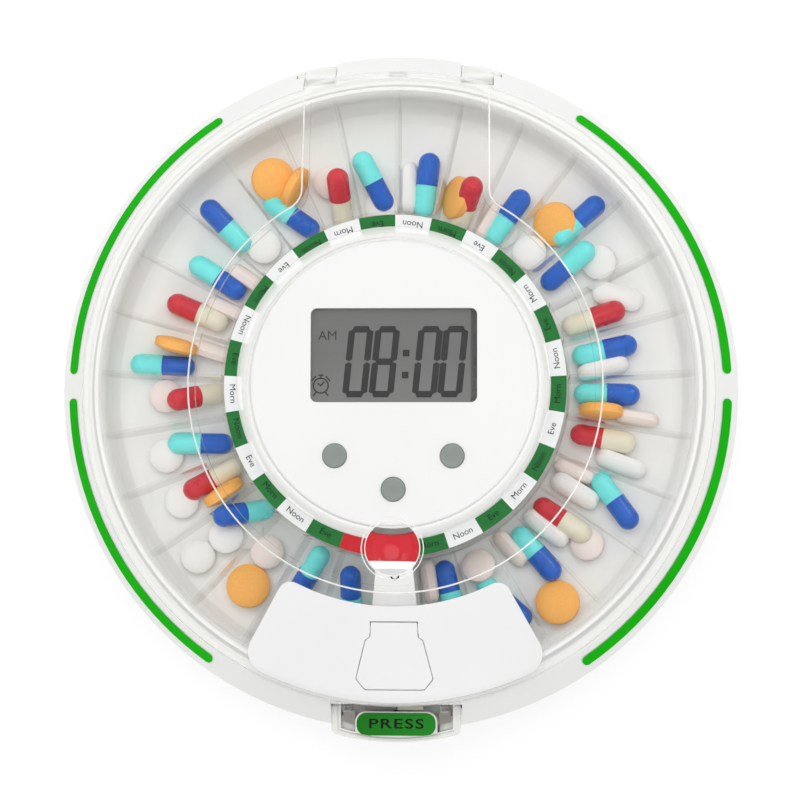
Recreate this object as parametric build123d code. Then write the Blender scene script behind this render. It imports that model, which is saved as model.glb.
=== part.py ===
from build123d import *
from math import acos, cos, pi, radians, sin, sqrt, tan
import os

os.makedirs("parts", exist_ok=True)

# All lengths are in millimetres. The origin is on the tray's spin axis, on the resting plane.
# +Z is up, -Y is the front with the release button, +Y is the hinge side.

# Clearances
RUN_GAP = 0.06
MOVE_GAP = 0.3
SEAT_GAP = 0.05
LATCH_GAP = 0.4

# Housing
BASE_R = 110.0
PART_LINE_Z = 24.0
BASE_BOTTOM_Z = 1.5
BASE_FOOT_R = BASE_R - 17.0
BASE_WALL = 2.4
FLOOR_T = 2.4
RIM_TOP_Z = 34.3
RIM_W = 7.8
RIM_TOP_R = BASE_R - RIM_W
RIM_EDGE_Z = 25.5
RIM_WALL = 2.0
RIM_LAND = 3.2
BOWL_R = RIM_TOP_R - RIM_LAND
BOWL_WALL = 2.0
BOWL_FLOOR_Z = 15.5
TOWER_R = 46.0
TOWER_WALL = 2.0
TOWER_TOP_Z = 53.0
RAIL_W = 1.6
BEARING_Z = (39.5, 45.5)

# Accent strips inlaid in the sloping rim
STRIP_R = (BASE_R + RIM_TOP_R) / 2
STRIP_W = 3.1
STRIP_DEPTH = 0.8
STRIP_PROUD = 0.3
STRIP_SPANS = ((35.0, 87.5), (93.5, 146.0))

# Feet and housing screws
FOOT_R = 7.0
FOOT_RING_R = BASE_R - 28.0
FOOT_H = 2.0
SCREW_RING_R = BASE_R - 26.0
SCREW_R = 1.5
SCREW_HEAD_R = 2.8
SCREW_HEAD_H = 1.9
POST_R = 3.8

# Battery bay
CELL_R = 7.25
CELL_L = 49.2
NUB_R = 2.75
NUB_H = 1.3
CELL_COUNT = 4
BAY_HALF_Y = 28.0
BAY_WALL = 1.5
BAY_ROOF_T = 1.4
DOOR_T = 1.8
DOOR_EDGE = 1.2
PLATE_T = 0.4

# Tray
TRAY_GAP = 1.7
TRAY_R = BOWL_R - TRAY_GAP
TRAY_WALL = 1.2
TRAY_TOP_Z = 39.0
TRAY_BOTTOM_Z = 16.8
TRAY_FLOOR_T = 1.2
POCKET_R = 55.2
RAIL_R = (POCKET_R + TRAY_R) / 2
DIVIDER_T = 1.0
DIVIDER_TOP_Z = 46.6
STATION_COUNT = 29
HUB_R = 47.6
SHELF_TOP_Z = 47.5
SHELF_T = 1.2
SLEEVE_BOTTOM_Z = 38.5
COVER_T = 0.9

# Dose label ring
LABEL_R_IN = HUB_R + 0.8
LABEL_R_OUT = POCKET_R - 1.2
LABEL_T = 0.8
LIP_H = 1.3

# Drive
GEAR_MODULE = 1.0
RING_TEETH = 102
PINION_TEETH = 12
PRESSURE_ANGLE = 20.0
ADDENDUM = 0.8
DEDENDUM = 1.1
BACKLASH = 0.13
RING_GEAR_H = 7.0
PINION_Z = (18.6, 24.4)
SHAFT_R = 1.5
MOTOR_R = 11.4
MOTOR_EAR_T = 1.6

# Lid
LID_R = RIM_TOP_R - 0.7
LID_WALL = 2.0
LID_EDGE_Z = 34.6
LID_SHOULDER_Z = 41.3
PLATEAU_R = 65.0
LID_INNER_R = PLATEAU_R + 0.5
LID_INNER_Z = 50.0
SHOULDER_FILLET = 5.0
PLATEAU_Z = 53.0
NECK_HALF_W = 29.5
NECK_EDGE_Z = 45.5
NECK_FILLET = 7.0
BOSS_R = 48.8
BOSS_Z = TOWER_TOP_Z + 6.0
BOSS_FILLET = 1.5
LENS_R = 8.3
LENS_Y = -51.2
LENS_WALL = 1.3
LENS_TOP_Z = BOSS_Z + 1.0
LENS_BOTTOM_Z = BOSS_Z - 4.7
LENS_RISE = (1.9, 1.4)

# Hatch
PANEL_R_IN = PLATEAU_R + 4.4
PANEL_R_OUT = LID_R - 1.6
PANEL_L = PANEL_R_OUT - PANEL_R_IN
PANEL_HALF_ANGLE = 29.4
PANEL_RECESS = 1.0
PANEL_PROUD = 0.2
PANEL_CORNERS = (4.0, 7.0)
FLAP_SHAPE = ((7.2, 0.164), (7.4, 0.311), (8.9, 0.351), (12.0, 0.7475), (9.3, 0.856))
FLAP_AXIS_SHARE = 0.223
FLAP_OUTLINE = [(x, -PANEL_R_IN - share * PANEL_L) for x, share in FLAP_SHAPE]
FLAP_AXIS_Y = -PANEL_R_IN - FLAP_AXIS_SHARE * PANEL_L
FLAP_BARREL_R = 1.3
FLAP_PIN_R = 0.7
FLAP_LEDGE = 1.2

# Lid hinge
HINGE_Y = LID_R + 1.5
HINGE_Z = 27.0
HINGE_PIN_R = 1.0
LUG_X = (20.6, 30.7)
LUG_R = 3.8
EAR_T = 3.0
SPRING_SLOT_HALF_W = 2.9

# Front latch
BULGE_Y = -BASE_R - 3.1
BULGE_HALF_W = 20.6
BULGE_SIDE_Y = -BASE_R - 0.2
BULGE_CORNER = 2.5
BULGE_TOP_Z = 28.6
WELL_HALF_W = BULGE_HALF_W - 2.6
WELL_BACK_Y = -BOWL_R - BOWL_WALL - 0.3
WELL_FLOOR_Z = 20.5
WELL_WALL = 1.5
TAB_WALL = 1.2
TAB_ARM_X = BULGE_HALF_W - 2.0
TAB_TOP_Z = 32.8
BUTTON_HALF_W = 13.1
BUTTON_Y = (BULGE_Y + 1.6, WELL_BACK_Y - 2.1)
BUTTON_TOP_Z = 32.4
BUTTON_CAP_T = 3.0
BUTTON_TRAVEL = 2.0
LABEL_W = 25.2
LABEL_D = 7.2
LABEL_THICK = 0.4
TONGUE_X = (BUTTON_HALF_W + 1.2, WELL_HALF_W - 1.1)
TONGUE_Y = (WELL_BACK_Y - 1.9, WELL_BACK_Y - 0.4)
TOOTH_Y = WELL_BACK_Y - 3.6
TOOTH_Z = (22.3, 24.6)
SLIDER_Z = (25.0, 26.5)
SLIDER_FRONT_Y = BULGE_Y + 3.7
WEDGE_Y = WELL_BACK_Y - 3.7
SPRING_Y = WELL_BACK_Y - 4.6
SENSOR_TOP_Z = 30.0

# Clock unit
FACE_R = TOWER_R - 1.0
FACE_TOP_Z = TOWER_TOP_Z + 2.0
LCD_W = 52.0
LCD_H = 29.5
LCD_Y = 8.8
LCD_CORNER = 2.0
WINDOW_SUNK = 0.2
BOARD_Z = 45.0
BOARD_T = 1.6
BOARD_R = 41.0
GLASS_T = 2.4
BUTTON_CAPS = {"left": (-18.3, -22.6), "right": (18.3, -22.6), "centre": (0.0, -33.0)}
CAP_R = 3.75
CAP_FLANGE = 0.9
CAP_PROUD = 0.9
CAP_TRAVEL = 0.6
SWITCH_SIDE = 6.0
SWITCH_H = 3.4
PLUNGER_R = 1.7

FRONT = -90.0
STATION = 360.0 / STATION_COUNT
LOW = 10.0


# Basic shapes
def profile(points, plane=Plane.XZ):
    """A closed face from (u, v) or (u, v, fillet radius) corners."""
    corners = [Vector(p[0], p[1]) for p in points]
    radii = [p[2] if len(p) > 2 else 0.0 for p in points]
    edges = []
    starts = []
    ends = []
    for i, corner in enumerate(corners):
        before = (corners[i - 1] - corner).normalized()
        after = (corners[(i + 1) % len(corners)] - corner).normalized()
        if radii[i] > 0:
            half = acos(max(-1.0, min(1.0, before.dot(after)))) / 2
            setback = radii[i] / tan(half)
            first = corner + before * setback
            last = corner + after * setback
            inward = (before + after).normalized()
            middle = corner + inward * (radii[i] / sin(half) - radii[i])
            edges.append(ThreePointArc(first, middle, last))
        else:
            first = last = corner
        starts.append(first)
        ends.append(last)
    for i in range(len(corners)):
        start = ends[i]
        end = starts[(i + 1) % len(corners)]
        if (end - start).length > 1e-6:
            edges.append(Line(start, end))
    return plane * Face(Wire(edges))


def turned(points):
    """A solid of revolution about Z from an (r, z) profile."""
    return Solid.revolve(profile(points), 360, Axis.Z)


def can(radius, low, high, x=0.0, y=0.0):
    return Pos(x, y, low) * Cylinder(radius, high - low, align=(Align.CENTER, Align.CENTER, Align.MIN))


def rod(radius, x0, x1, y, z):
    """A cylinder along X."""
    across = Cylinder(radius, x1 - x0, rotation=(0, 90, 0), align=(Align.CENTER, Align.CENTER, Align.MIN))
    return Pos(x0, y, z) * across


def annulus(r_in, r_out, low, high, x=0.0, y=0.0):
    return can(r_out, low, high, x, y) - can(r_in, low - 1, high + 1, x, y)


def block(x0, x1, y0, y1, z0, z1):
    return Pos((x0 + x1) / 2, (y0 + y1) / 2, (z0 + z1) / 2) * Box(x1 - x0, y1 - y0, z1 - z0)


def soft_block(x0, x1, y0, y1, z0, z1, radius):
    """A block with rounded upright edges."""
    outline = Pos((x0 + x1) / 2, (y0 + y1) / 2, z0) * RectangleRounded(x1 - x0, y1 - y0, radius)
    return extrude(outline, z1 - z0)


def prism(points, low, high):
    """An upright prism over a plan outline of (x, y) or (x, y, fillet radius) corners."""
    return extrude(Pos(0, 0, low) * profile(points, Plane.XY), high - low, dir=(0, 0, 1))


def along_x(points, x0, x1):
    """A bar along X with a section of (y, z) corners."""
    return extrude(Pos(x0, 0, 0) * profile(points, Plane.YZ), x1 - x0, dir=(1, 0, 0))


def polar(radius, angle):
    return radius * cos(radians(angle)), radius * sin(radians(angle))


def save(name, *shapes):
    solids = []
    for shape in shapes:
        solids.extend(shape.solids())
    export_step(Compound(children=solids), f"parts/{name}.step")


# Bent wire, as one tube along tangent arcs
def biarc(start, leave, end, arrive):
    """Two tangent arcs from start to end that leave and arrive along the given directions."""
    chord = end - start
    turn = leave + arrive
    spread = 2 * (1 - leave.dot(arrive))
    if spread < 1e-9:
        reach = chord.length / 2
    else:
        along = chord.dot(turn)
        reach = (-along + sqrt(along * along + spread * chord.dot(chord))) / spread
    joint = (start + end + (leave - arrive) * reach) * 0.5
    arcs = []
    for a, b, tangent, from_first in ((start, joint, leave, True), (joint, end, arrive, False)):
        straight = abs((b - a).normalized().dot(tangent)) > 1 - 1e-7
        if straight:
            arcs.append(Line(a, b))
        elif from_first:
            arcs.append(TangentArc(a, b, tangent=tangent))
        else:
            back = TangentArc(b, a, tangent=tangent * -1)
            arcs.append(back.reversed())
    return arcs


def wire_tube(stops, radius):
    """A round wire through (point, direction) stops."""
    edges = []
    for (start, leave), (end, arrive) in zip(stops, stops[1:]):
        edges.extend(biarc(start, leave, end, arrive))
    path = Wire(edges)
    section = Plane(origin=stops[0][0], z_dir=stops[0][1]) * Circle(radius)
    return sweep(section, path=path)


def coil_stops(centre, axis, across, radius, pitch, turns, start_turn=0.0, taper=0.0):
    """Quarter-turn stops of a helix that starts at centre + across * radius."""
    side = axis.cross(across)
    stops = []
    for i in range(int(turns * 4) + 1):
        part = i / 4 + start_turn
        angle = 2 * pi * part
        here = radius - taper * i / 4
        point = centre + axis * (pitch * i / 4)
        point = point + (across * cos(angle) + side * sin(angle)) * here
        heading = (side * cos(angle) - across * sin(angle)) * (2 * pi * here) + axis * pitch
        heading = heading - (across * cos(angle) + side * sin(angle)) * taper
        stops.append((point, heading.normalized()))
    return stops


def report_gap(name, pitch, wire):
    print(f"{name}: gap between turns {pitch - 2 * wire:.2f} mm")


# Rim slope shared by the housing, the lid lugs and the accent strips
RIM_RUN = Vector(BASE_R - RIM_TOP_R, RIM_EDGE_Z - RIM_TOP_Z)
RIM_UNIT = RIM_RUN.normalized()
RIM_NORMAL = Vector(-RIM_UNIT.Y, RIM_UNIT.X)


def rim_point(radius, depth=0.0):
    """A point of the sloping rim at this radius, sunk square to the slope by depth."""
    share = (radius - RIM_TOP_R) / (BASE_R - RIM_TOP_R)
    z = RIM_TOP_Z + share * (RIM_EDGE_Z - RIM_TOP_Z)
    return radius - RIM_NORMAL.X * depth, z - RIM_NORMAL.Y * depth


# Front bulge plan, shared by the housing and the lid's tab
def bulge(inset, low, high, back_y=3.0 - BOWL_R):
    """The front bulge as an upright prism, drawn in by inset."""
    half = BULGE_HALF_W - inset
    side_y = BULGE_SIDE_Y + inset
    front = ThreePointArc((-half, side_y), (0, BULGE_Y + inset), (half, side_y))
    edges = [
        front,
        Line((half, side_y), (half, back_y)),
        Line((half, back_y), (-half, back_y)),
        Line((-half, back_y), (-half, side_y)),
    ]
    solid = extrude(Pos(0, 0, low) * Face(Wire(edges)), high - low, dir=(0, 0, 1))
    corners = [e for e in solid.edges().filter_by(Axis.Z) if e.center().Y < side_y + 1]
    return fillet(corners, max(BULGE_CORNER - inset, 0.6))


def well(low, high, back_y=WELL_BACK_Y):
    """The latch well, open between the bowl wall and the front of the bulge."""
    inner = bulge(WELL_WALL, low, high, back_y)
    return inner & block(-WELL_HALF_W, WELL_HALF_W, BULGE_Y, back_y, low, high)


# Base shell with the battery bay, speaker grille and latch well
BAY_HALF_X = CELL_COUNT * CELL_R + 0.5 + 0.1 * CELL_COUNT
CELL_Z = BASE_BOTTOM_Z + DOOR_T + 0.3 + CELL_R
BAY_TOP_Z = CELL_Z + CELL_R + 0.3
FLOOR_TOP_Z = BASE_BOTTOM_Z + FLOOR_T
SPEAKER_X = -62.0
SPEAKER_R = 13.0
MOTOR_X = GEAR_MODULE * (RING_TEETH - PINION_TEETH) / 2
FOOT_ANGLES = [45 + 90 * i for i in range(4)]
SCREW_ANGLES = [22.5 + 90 * i for i in range(4)]

BOWL_OUT_R = BOWL_R + BOWL_WALL
BOWL_UNDER_Z = BOWL_FLOOR_Z - BOWL_WALL

base_shell = turned([
    (0, BASE_BOTTOM_Z), (BASE_FOOT_R, BASE_BOTTOM_Z, 9), (BASE_R - 0.8, PART_LINE_Z - 5, 12),
    (BASE_R, PART_LINE_Z), (BASE_R - BASE_WALL, PART_LINE_Z),
    (BASE_R - BASE_WALL - 0.8, PART_LINE_Z - 4.4, 9.6),
    (BASE_FOOT_R - 1.4, FLOOR_TOP_Z, 6.6), (0, FLOOR_TOP_Z),
])
base_shell = base_shell - can(BOWL_OUT_R + SEAT_GAP, BOWL_UNDER_Z, PART_LINE_Z + 1)
well_shelf_z = WELL_FLOOR_Z - 2.0
base_back_y = WELL_BACK_Y + 1.3
bulge_section = along_x([
    (BULGE_Y - 2, PART_LINE_Z), (BULGE_Y - 2, well_shelf_z + 1.8), (WELL_BACK_Y - 4.2, well_shelf_z - 3.9),
    (WELL_BACK_Y - 2.7, well_shelf_z),
    (base_back_y, well_shelf_z), (base_back_y, PART_LINE_Z),
], -BULGE_HALF_W, BULGE_HALF_W)
bulge_body = bulge(0, LOW, PART_LINE_Z, base_back_y) & bulge_section
base_shell = base_shell + (bulge_body - can(BOWL_OUT_R + SEAT_GAP, BOWL_UNDER_Z, PART_LINE_Z + 1))
base_shell = base_shell - well(WELL_FLOOR_Z, PART_LINE_Z + 1, base_back_y)
slider_rest = block(TONGUE_X[0] - 0.6, WELL_HALF_W, BULGE_Y + 3, TOOTH_Y - LATCH_GAP, WELL_FLOOR_Z - 1,
                    SLIDER_Z[0] - MOVE_GAP)
slider_rests = (slider_rest + mirror(slider_rest, Plane.YZ)) & bulge(WELL_WALL, LOW, RIM_TOP_Z)
base_shell = base_shell + slider_rests
bay_outer = block(-BAY_HALF_X - BAY_WALL, BAY_HALF_X + BAY_WALL, -BAY_HALF_Y - BAY_WALL,
                  BAY_HALF_Y + BAY_WALL, BASE_BOTTOM_Z, BAY_TOP_Z + BAY_ROOF_T)
bay_space = block(-BAY_HALF_X, BAY_HALF_X, -BAY_HALF_Y, BAY_HALF_Y, BASE_BOTTOM_Z - 1, BAY_TOP_Z)
door_recess = soft_block(-BAY_HALF_X - DOOR_EDGE, BAY_HALF_X + DOOR_EDGE, -BAY_HALF_Y - DOOR_EDGE,
                         BAY_HALF_Y + DOOR_EDGE, BASE_BOTTOM_Z - 1, BASE_BOTTOM_Z + DOOR_T + 0.2, 2)
base_shell = base_shell + bay_outer - bay_space - door_recess
for angle in FOOT_ANGLES:
    x, y = polar(FOOT_RING_R, angle)
    base_shell = base_shell - can(FOOT_R + SEAT_GAP, BASE_BOTTOM_Z - 1, FOOT_H, x, y)
for angle in SCREW_ANGLES:
    x, y = polar(SCREW_RING_R, angle)
    base_shell = base_shell - can(SCREW_R + SEAT_GAP, 0, FLOOR_TOP_Z + 1, x, y)
    base_shell = base_shell - can(SCREW_HEAD_R + SEAT_GAP, 0, BASE_BOTTOM_Z + SCREW_HEAD_H - 0.3, x, y)
    base_shell = base_shell + annulus(SCREW_R + SEAT_GAP, POST_R, FLOOR_TOP_Z - 0.5, FLOOR_TOP_Z + 2, x, y)
grille = [(0.0, 0.0)] + [polar(3.6, 60 * i) for i in range(6)] + [polar(7.2, 30 * i) for i in range(12)]
for dx, dy in grille:
    base_shell = base_shell - can(1.0, 0, FLOOR_TOP_Z + 1, SPEAKER_X + dx, dy)
speaker_ring = annulus(SPEAKER_R + SEAT_GAP, SPEAKER_R + 1.4, FLOOR_TOP_Z - 0.5, FLOOR_TOP_Z + 3, SPEAKER_X)
base_shell = base_shell + speaker_ring

# Upper housing: rim, bowl, tower and the ears of the lid hinge
SLOPE_IN = [rim_point(RIM_TOP_R, RIM_WALL), rim_point(BASE_R, RIM_WALL)]
TOWER_IN_R = TOWER_R - TOWER_WALL
under_rim_z = rim_point(BOWL_OUT_R + RIM_NORMAL.X * RIM_WALL, RIM_WALL)[1]
upper_housing = turned([
    (BASE_R, PART_LINE_Z), (BASE_R, RIM_EDGE_Z, 1.0), (RIM_TOP_R, RIM_TOP_Z, 1.2), (BOWL_R, RIM_TOP_Z),
    (BOWL_R, BOWL_FLOOR_Z, 4), (TOWER_R, BOWL_FLOOR_Z), (TOWER_R, TOWER_TOP_Z), (TOWER_IN_R, TOWER_TOP_Z),
    (TOWER_IN_R, BOWL_UNDER_Z), (BOWL_OUT_R, BOWL_UNDER_Z, 4), (BOWL_OUT_R, under_rim_z),
    (BASE_R - BASE_WALL, SLOPE_IN[1][1] + 0.6), (BASE_R - BASE_WALL, PART_LINE_Z),
])
upper_housing = upper_housing + annulus(RAIL_R - RAIL_W / 2, RAIL_R + RAIL_W / 2, BOWL_FLOOR_Z - 0.5,
                                        TRAY_BOTTOM_Z - MOVE_GAP)
upper_housing = upper_housing + annulus(TOWER_R - 0.5, HUB_R - MOVE_GAP, *BEARING_Z)
for angle in SCREW_ANGLES:
    x, y = polar(SCREW_RING_R, angle)
    upper_housing = upper_housing + can(POST_R, FLOOR_TOP_Z + 2, BOWL_UNDER_Z + 0.5, x, y)
    upper_housing = upper_housing - can(SCREW_R + SEAT_GAP, 0, BOWL_UNDER_Z - 0.5, x, y)

# Pinion window in the tower wall, shaft hole, and the index sensor's hole in the bowl floor
PINION_TIP_R = GEAR_MODULE * PINION_TEETH / 2 + ADDENDUM
SENSOR_X = -60.0
upper_housing = upper_housing - block(MOTOR_X - PINION_TIP_R - 1, TOWER_R + 0.5, -PINION_TIP_R - 1,
                                      PINION_TIP_R + 1, PINION_Z[0] - 1, PINION_Z[1] + 1)
upper_housing = upper_housing - can(SHAFT_R + 0.5, 0, PINION_Z[1], MOTOR_X)
upper_housing = upper_housing - block(SENSOR_X - 3, SENSOR_X + 3, -4, 4, 0, BOWL_FLOOR_Z + 1)

# Front bulge and latch well of the upper housing
arm_space = block(-BULGE_HALF_W - LATCH_GAP, BULGE_HALF_W + LATCH_GAP, BULGE_Y - 1, WELL_BACK_Y + LATCH_GAP,
                  BULGE_TOP_Z, RIM_TOP_Z + 5)
upper_housing = upper_housing - arm_space
bulge_ring = bulge(0, PART_LINE_Z, BULGE_TOP_Z, WELL_BACK_Y + LATCH_GAP)
upper_housing = upper_housing + bulge_ring - well(PART_LINE_Z - 1, RIM_TOP_Z)

# Hinge slots, ears and pin bore at the rear
LUG_FLOOR_Z = HINGE_Z - LUG_R - LATCH_GAP
for side in (-1, 1):
    x0, x1 = sorted((side * (LUG_X[0] - MOVE_GAP), side * (LUG_X[1] + MOVE_GAP)))
    slot = block(x0, x1, HINGE_Y - LUG_R - LATCH_GAP, BASE_R + 1, PART_LINE_Z - 2, RIM_TOP_Z + 1)
    upper_housing = upper_housing - slot
rim_inside = turned([
    (BOWL_R + 0.5, PART_LINE_Z), (BOWL_R + 0.5, RIM_TOP_Z - 0.5), (RIM_TOP_R - 0.5, RIM_TOP_Z - 0.5),
    (BASE_R - 0.6, RIM_EDGE_Z - 0.4), (BASE_R - 0.6, PART_LINE_Z),
])
for side in (-1, 1):
    for near in (LUG_X[0] - MOVE_GAP - EAR_T, LUG_X[1] + MOVE_GAP):
        x0, x1 = sorted((side * near, side * (near + EAR_T)))
        ear_y = BOWL_R - 1.5
        ear = block(x0, x1, ear_y, BASE_R, PART_LINE_Z, RIM_TOP_Z)
        upper_housing = upper_housing + (ear & rim_inside)
pin_reach = LUG_X[1] + EAR_T
upper_housing = upper_housing - rod(HINGE_PIN_R + RUN_GAP, -pin_reach, pin_reach, HINGE_Y, HINGE_Z)
slot_half = SPRING_SLOT_HALF_W
spring_slot = block(-slot_half, slot_half, LID_R - 0.2, LID_R + 2.0, PART_LINE_Z, RIM_TOP_Z + 1)
upper_housing = upper_housing - spring_slot

# The base gives way below the hinge slots
lug_cuts = []
for side in (-1, 1):
    x0, x1 = sorted((side * (LUG_X[0] - MOVE_GAP), side * (LUG_X[1] + MOVE_GAP)))
    lug_cuts.append(block(x0, x1, HINGE_Y - LUG_R - LATCH_GAP, BASE_R + 1, LUG_FLOOR_Z, PART_LINE_Z + 1))
for cut in lug_cuts:
    base_shell = base_shell - cut
save("base_shell", base_shell)

# Accent strips, inlaid square to the rim's slope
half_strip = STRIP_W / 2 + STRIP_PROUD
band = turned([
    rim_point(STRIP_R - half_strip, STRIP_DEPTH), rim_point(STRIP_R + half_strip, STRIP_DEPTH),
    rim_point(STRIP_R + half_strip, -STRIP_PROUD), rim_point(STRIP_R - half_strip, -STRIP_PROUD),
])
strips = []
for side in (-1, 1):
    for near, far in STRIP_SPANS:
        start, end = sorted((FRONT + side * near, FRONT + side * far))
        line = CenterArc((0, 0), STRIP_R, start, end - start)
        outline = Pos(0, 0, LOW) * SlotArc(line, STRIP_W)
        strips.append(extrude(outline, RIM_TOP_Z, dir=(0, 0, 1)) & band)
for strip in strips:
    upper_housing = upper_housing - strip
save("accent_strips", *strips)

# Feet and housing screws
feet = []
for angle in FOOT_ANGLES:
    x, y = polar(FOOT_RING_R, angle)
    feet.append(can(FOOT_R, 0, FOOT_H, x, y))
save("feet", *[fillet(foot.edges().group_by(Axis.Z)[0], 0.5) for foot in feet])


def screw(x, y, top, length, shank, head_r, head_h):
    """A pan-head screw driven upwards, with a cross recess in its head."""
    shank_low = top - length
    body = can(shank, shank_low, top, x, y) + can(head_r, shank_low - head_h, shank_low, x, y)
    cut_low = shank_low - head_h - 0.1
    slot_half = head_r * 0.6
    slot_w = head_r * 0.12
    cross = block(x - slot_half, x + slot_half, y - slot_w, y + slot_w, cut_low, cut_low + head_h * 0.6)
    slot_top = cut_low + head_h * 0.6
    cross = cross + block(x - slot_w, x + slot_w, y - slot_half, y + slot_half, cut_low, slot_top)
    return body - cross


housing_screws = []
for angle in SCREW_ANGLES:
    x, y = polar(SCREW_RING_R, angle)
    top = BOWL_UNDER_Z - 1
    seat = BASE_BOTTOM_Z + SCREW_HEAD_H - 0.3
    housing_screws.append(screw(x, y, top, top - seat, SCREW_R, SCREW_HEAD_R, SCREW_HEAD_H - 0.3))
save("housing_screws", *housing_screws)

# Batteries, springs, contact plates and the door
cells = []
springs = []
plates = []
for i in range(CELL_COUNT):
    x = (i - (CELL_COUNT - 1) / 2) * (2 * BAY_HALF_X / CELL_COUNT)
    way = 1 if i % 2 == 0 else -1
    nub_end = BAY_HALF_Y - PLATE_T - SEAT_GAP
    tail = nub_end - NUB_H - CELL_L
    across = (Align.CENTER, Align.CENTER, Align.MIN)
    cell = Cylinder(CELL_R, CELL_L, align=across) + Pos(0, 0, CELL_L) * Cylinder(NUB_R, NUB_H, align=across)
    cell = fillet(cell.edges().filter_by(GeomType.CIRCLE).sort_by(SortBy.RADIUS)[-2:], 0.6)
    cells.append(Pos(x, way * tail, CELL_Z) * Rot(-90 * way, 0, 0) * cell)
    axis = Vector(0, way, 0)
    spring_room = tail + BAY_HALF_Y - PLATE_T
    wire = 0.4
    pitch = (spring_room - 2 * wire - 2 * SEAT_GAP) / 2
    origin = Vector(x, way * (PLATE_T - BAY_HALF_Y + wire + SEAT_GAP), CELL_Z)
    springs.append(wire_tube(coil_stops(origin, axis, Vector(1, 0, 0), 4.2, pitch, 2, taper=1.1), wire))
    for end in (-1, 1):
        y0, y1 = sorted((end * BAY_HALF_Y, end * (BAY_HALF_Y - PLATE_T)))
        plates.append(block(x - 5.5, x + 5.5, y0, y1, CELL_Z - 5, CELL_Z + 5))
report_gap("battery_springs", pitch, wire)
save("batteries", *cells)
save("battery_springs", *springs)
save("battery_plates", *plates)
door_gap = 0.25
battery_door = soft_block(-BAY_HALF_X - DOOR_EDGE + door_gap, BAY_HALF_X + DOOR_EDGE - door_gap,
                          -BAY_HALF_Y - DOOR_EDGE + door_gap, BAY_HALF_Y + DOOR_EDGE - door_gap,
                          BASE_BOTTOM_Z + 0.1, BASE_BOTTOM_Z + DOOR_T, 2 - door_gap)
battery_door = battery_door - can(7, BASE_BOTTOM_Z - 1, BASE_BOTTOM_Z + 0.6, 0, 8 - BAY_HALF_Y)
for i in range(5):
    ridge_y = BAY_HALF_Y - 8 - 2.4 * i
    battery_door = battery_door - block(-9, 9, ridge_y, ridge_y + 1.0, 0, BASE_BOTTOM_Z + 0.5)
save("battery_door", battery_door)

# Speaker
speaker_low = FLOOR_TOP_Z + SEAT_GAP
speaker = can(SPEAKER_R, speaker_low, speaker_low + 2.2, SPEAKER_X)
speaker = speaker + can(SPEAKER_R - 4, speaker_low + 2, speaker_low + 5.5, SPEAKER_X)
save("speaker", speaker)

# Gear motor with ears under the bowl floor, its shaft and screws
motor_top = BOWL_UNDER_Z - MOTOR_EAR_T
ear_reach = MOTOR_R + 5.5
ears = Pos(MOTOR_X, 0, motor_top) * extrude(SlotCenterToCenter(2 * ear_reach, 8, rotation=90), MOTOR_EAR_T)
gear_motor = can(MOTOR_R, FLOOR_TOP_Z + 0.3, motor_top, MOTOR_X) + ears
shaft_low = motor_top - 3
gear_motor = gear_motor - can(SHAFT_R + RUN_GAP, shaft_low, BOWL_UNDER_Z + 1, MOTOR_X)
motor_screws = []
for side in (-1, 1):
    y = side * ear_reach
    gear_motor = gear_motor - can(1.25, motor_top - 1, BOWL_UNDER_Z + 1, MOTOR_X, y)
    upper_housing = upper_housing - can(1.25, BOWL_UNDER_Z - 1, BOWL_UNDER_Z + 1.5, MOTOR_X, y)
    motor_screws.append(screw(MOTOR_X, y, BOWL_UNDER_Z + 1.4, MOTOR_EAR_T + 1.4, 1.2, 2.2, 1.2))
save("gear_motor", gear_motor)
save("motor_screws", *motor_screws)
save("upper_housing", upper_housing)
index_sensor = block(SENSOR_X - 2.9, SENSOR_X + 2.9, -3.9, 3.9, BOWL_UNDER_Z - 4, TRAY_BOTTOM_Z - MOVE_GAP)
index_sensor = index_sensor + block(SENSOR_X - 5, SENSOR_X + 5, -5, 5, BOWL_UNDER_Z - 2, BOWL_UNDER_Z)
save("index_sensor", index_sensor)


# Gears
def involute(angle):
    return tan(angle) - angle


def tooth_outline(teeth, root_r, tip_r, thinner):
    """Corners of an external gear whose flanks are involute steps, each flank drawn in by thinner."""
    pitch_r = GEAR_MODULE * teeth / 2
    pressure = radians(PRESSURE_ANGLE)
    base_r = pitch_r * cos(pressure)
    half_at_pitch = pi / (2 * teeth) - thinner / pitch_r
    radii = [root_r, max(root_r, base_r), pitch_r - 0.4, pitch_r, pitch_r + 0.4, tip_r]
    radii = sorted(set(r for r in radii if root_r <= r <= tip_r))
    corners = []
    for i in range(teeth):
        middle = 2 * pi * i / teeth
        flank = []
        for r in radii:
            roll = acos(min(1.0, base_r / max(r, base_r)))
            half = half_at_pitch + involute(pressure) - involute(roll)
            flank.append((r, half))
        for r, half in flank:
            corners.append((r * cos(middle - half), r * sin(middle - half)))
        for r, half in reversed(flank):
            corners.append((r * cos(middle + half), r * sin(middle + half)))
    return corners


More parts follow.
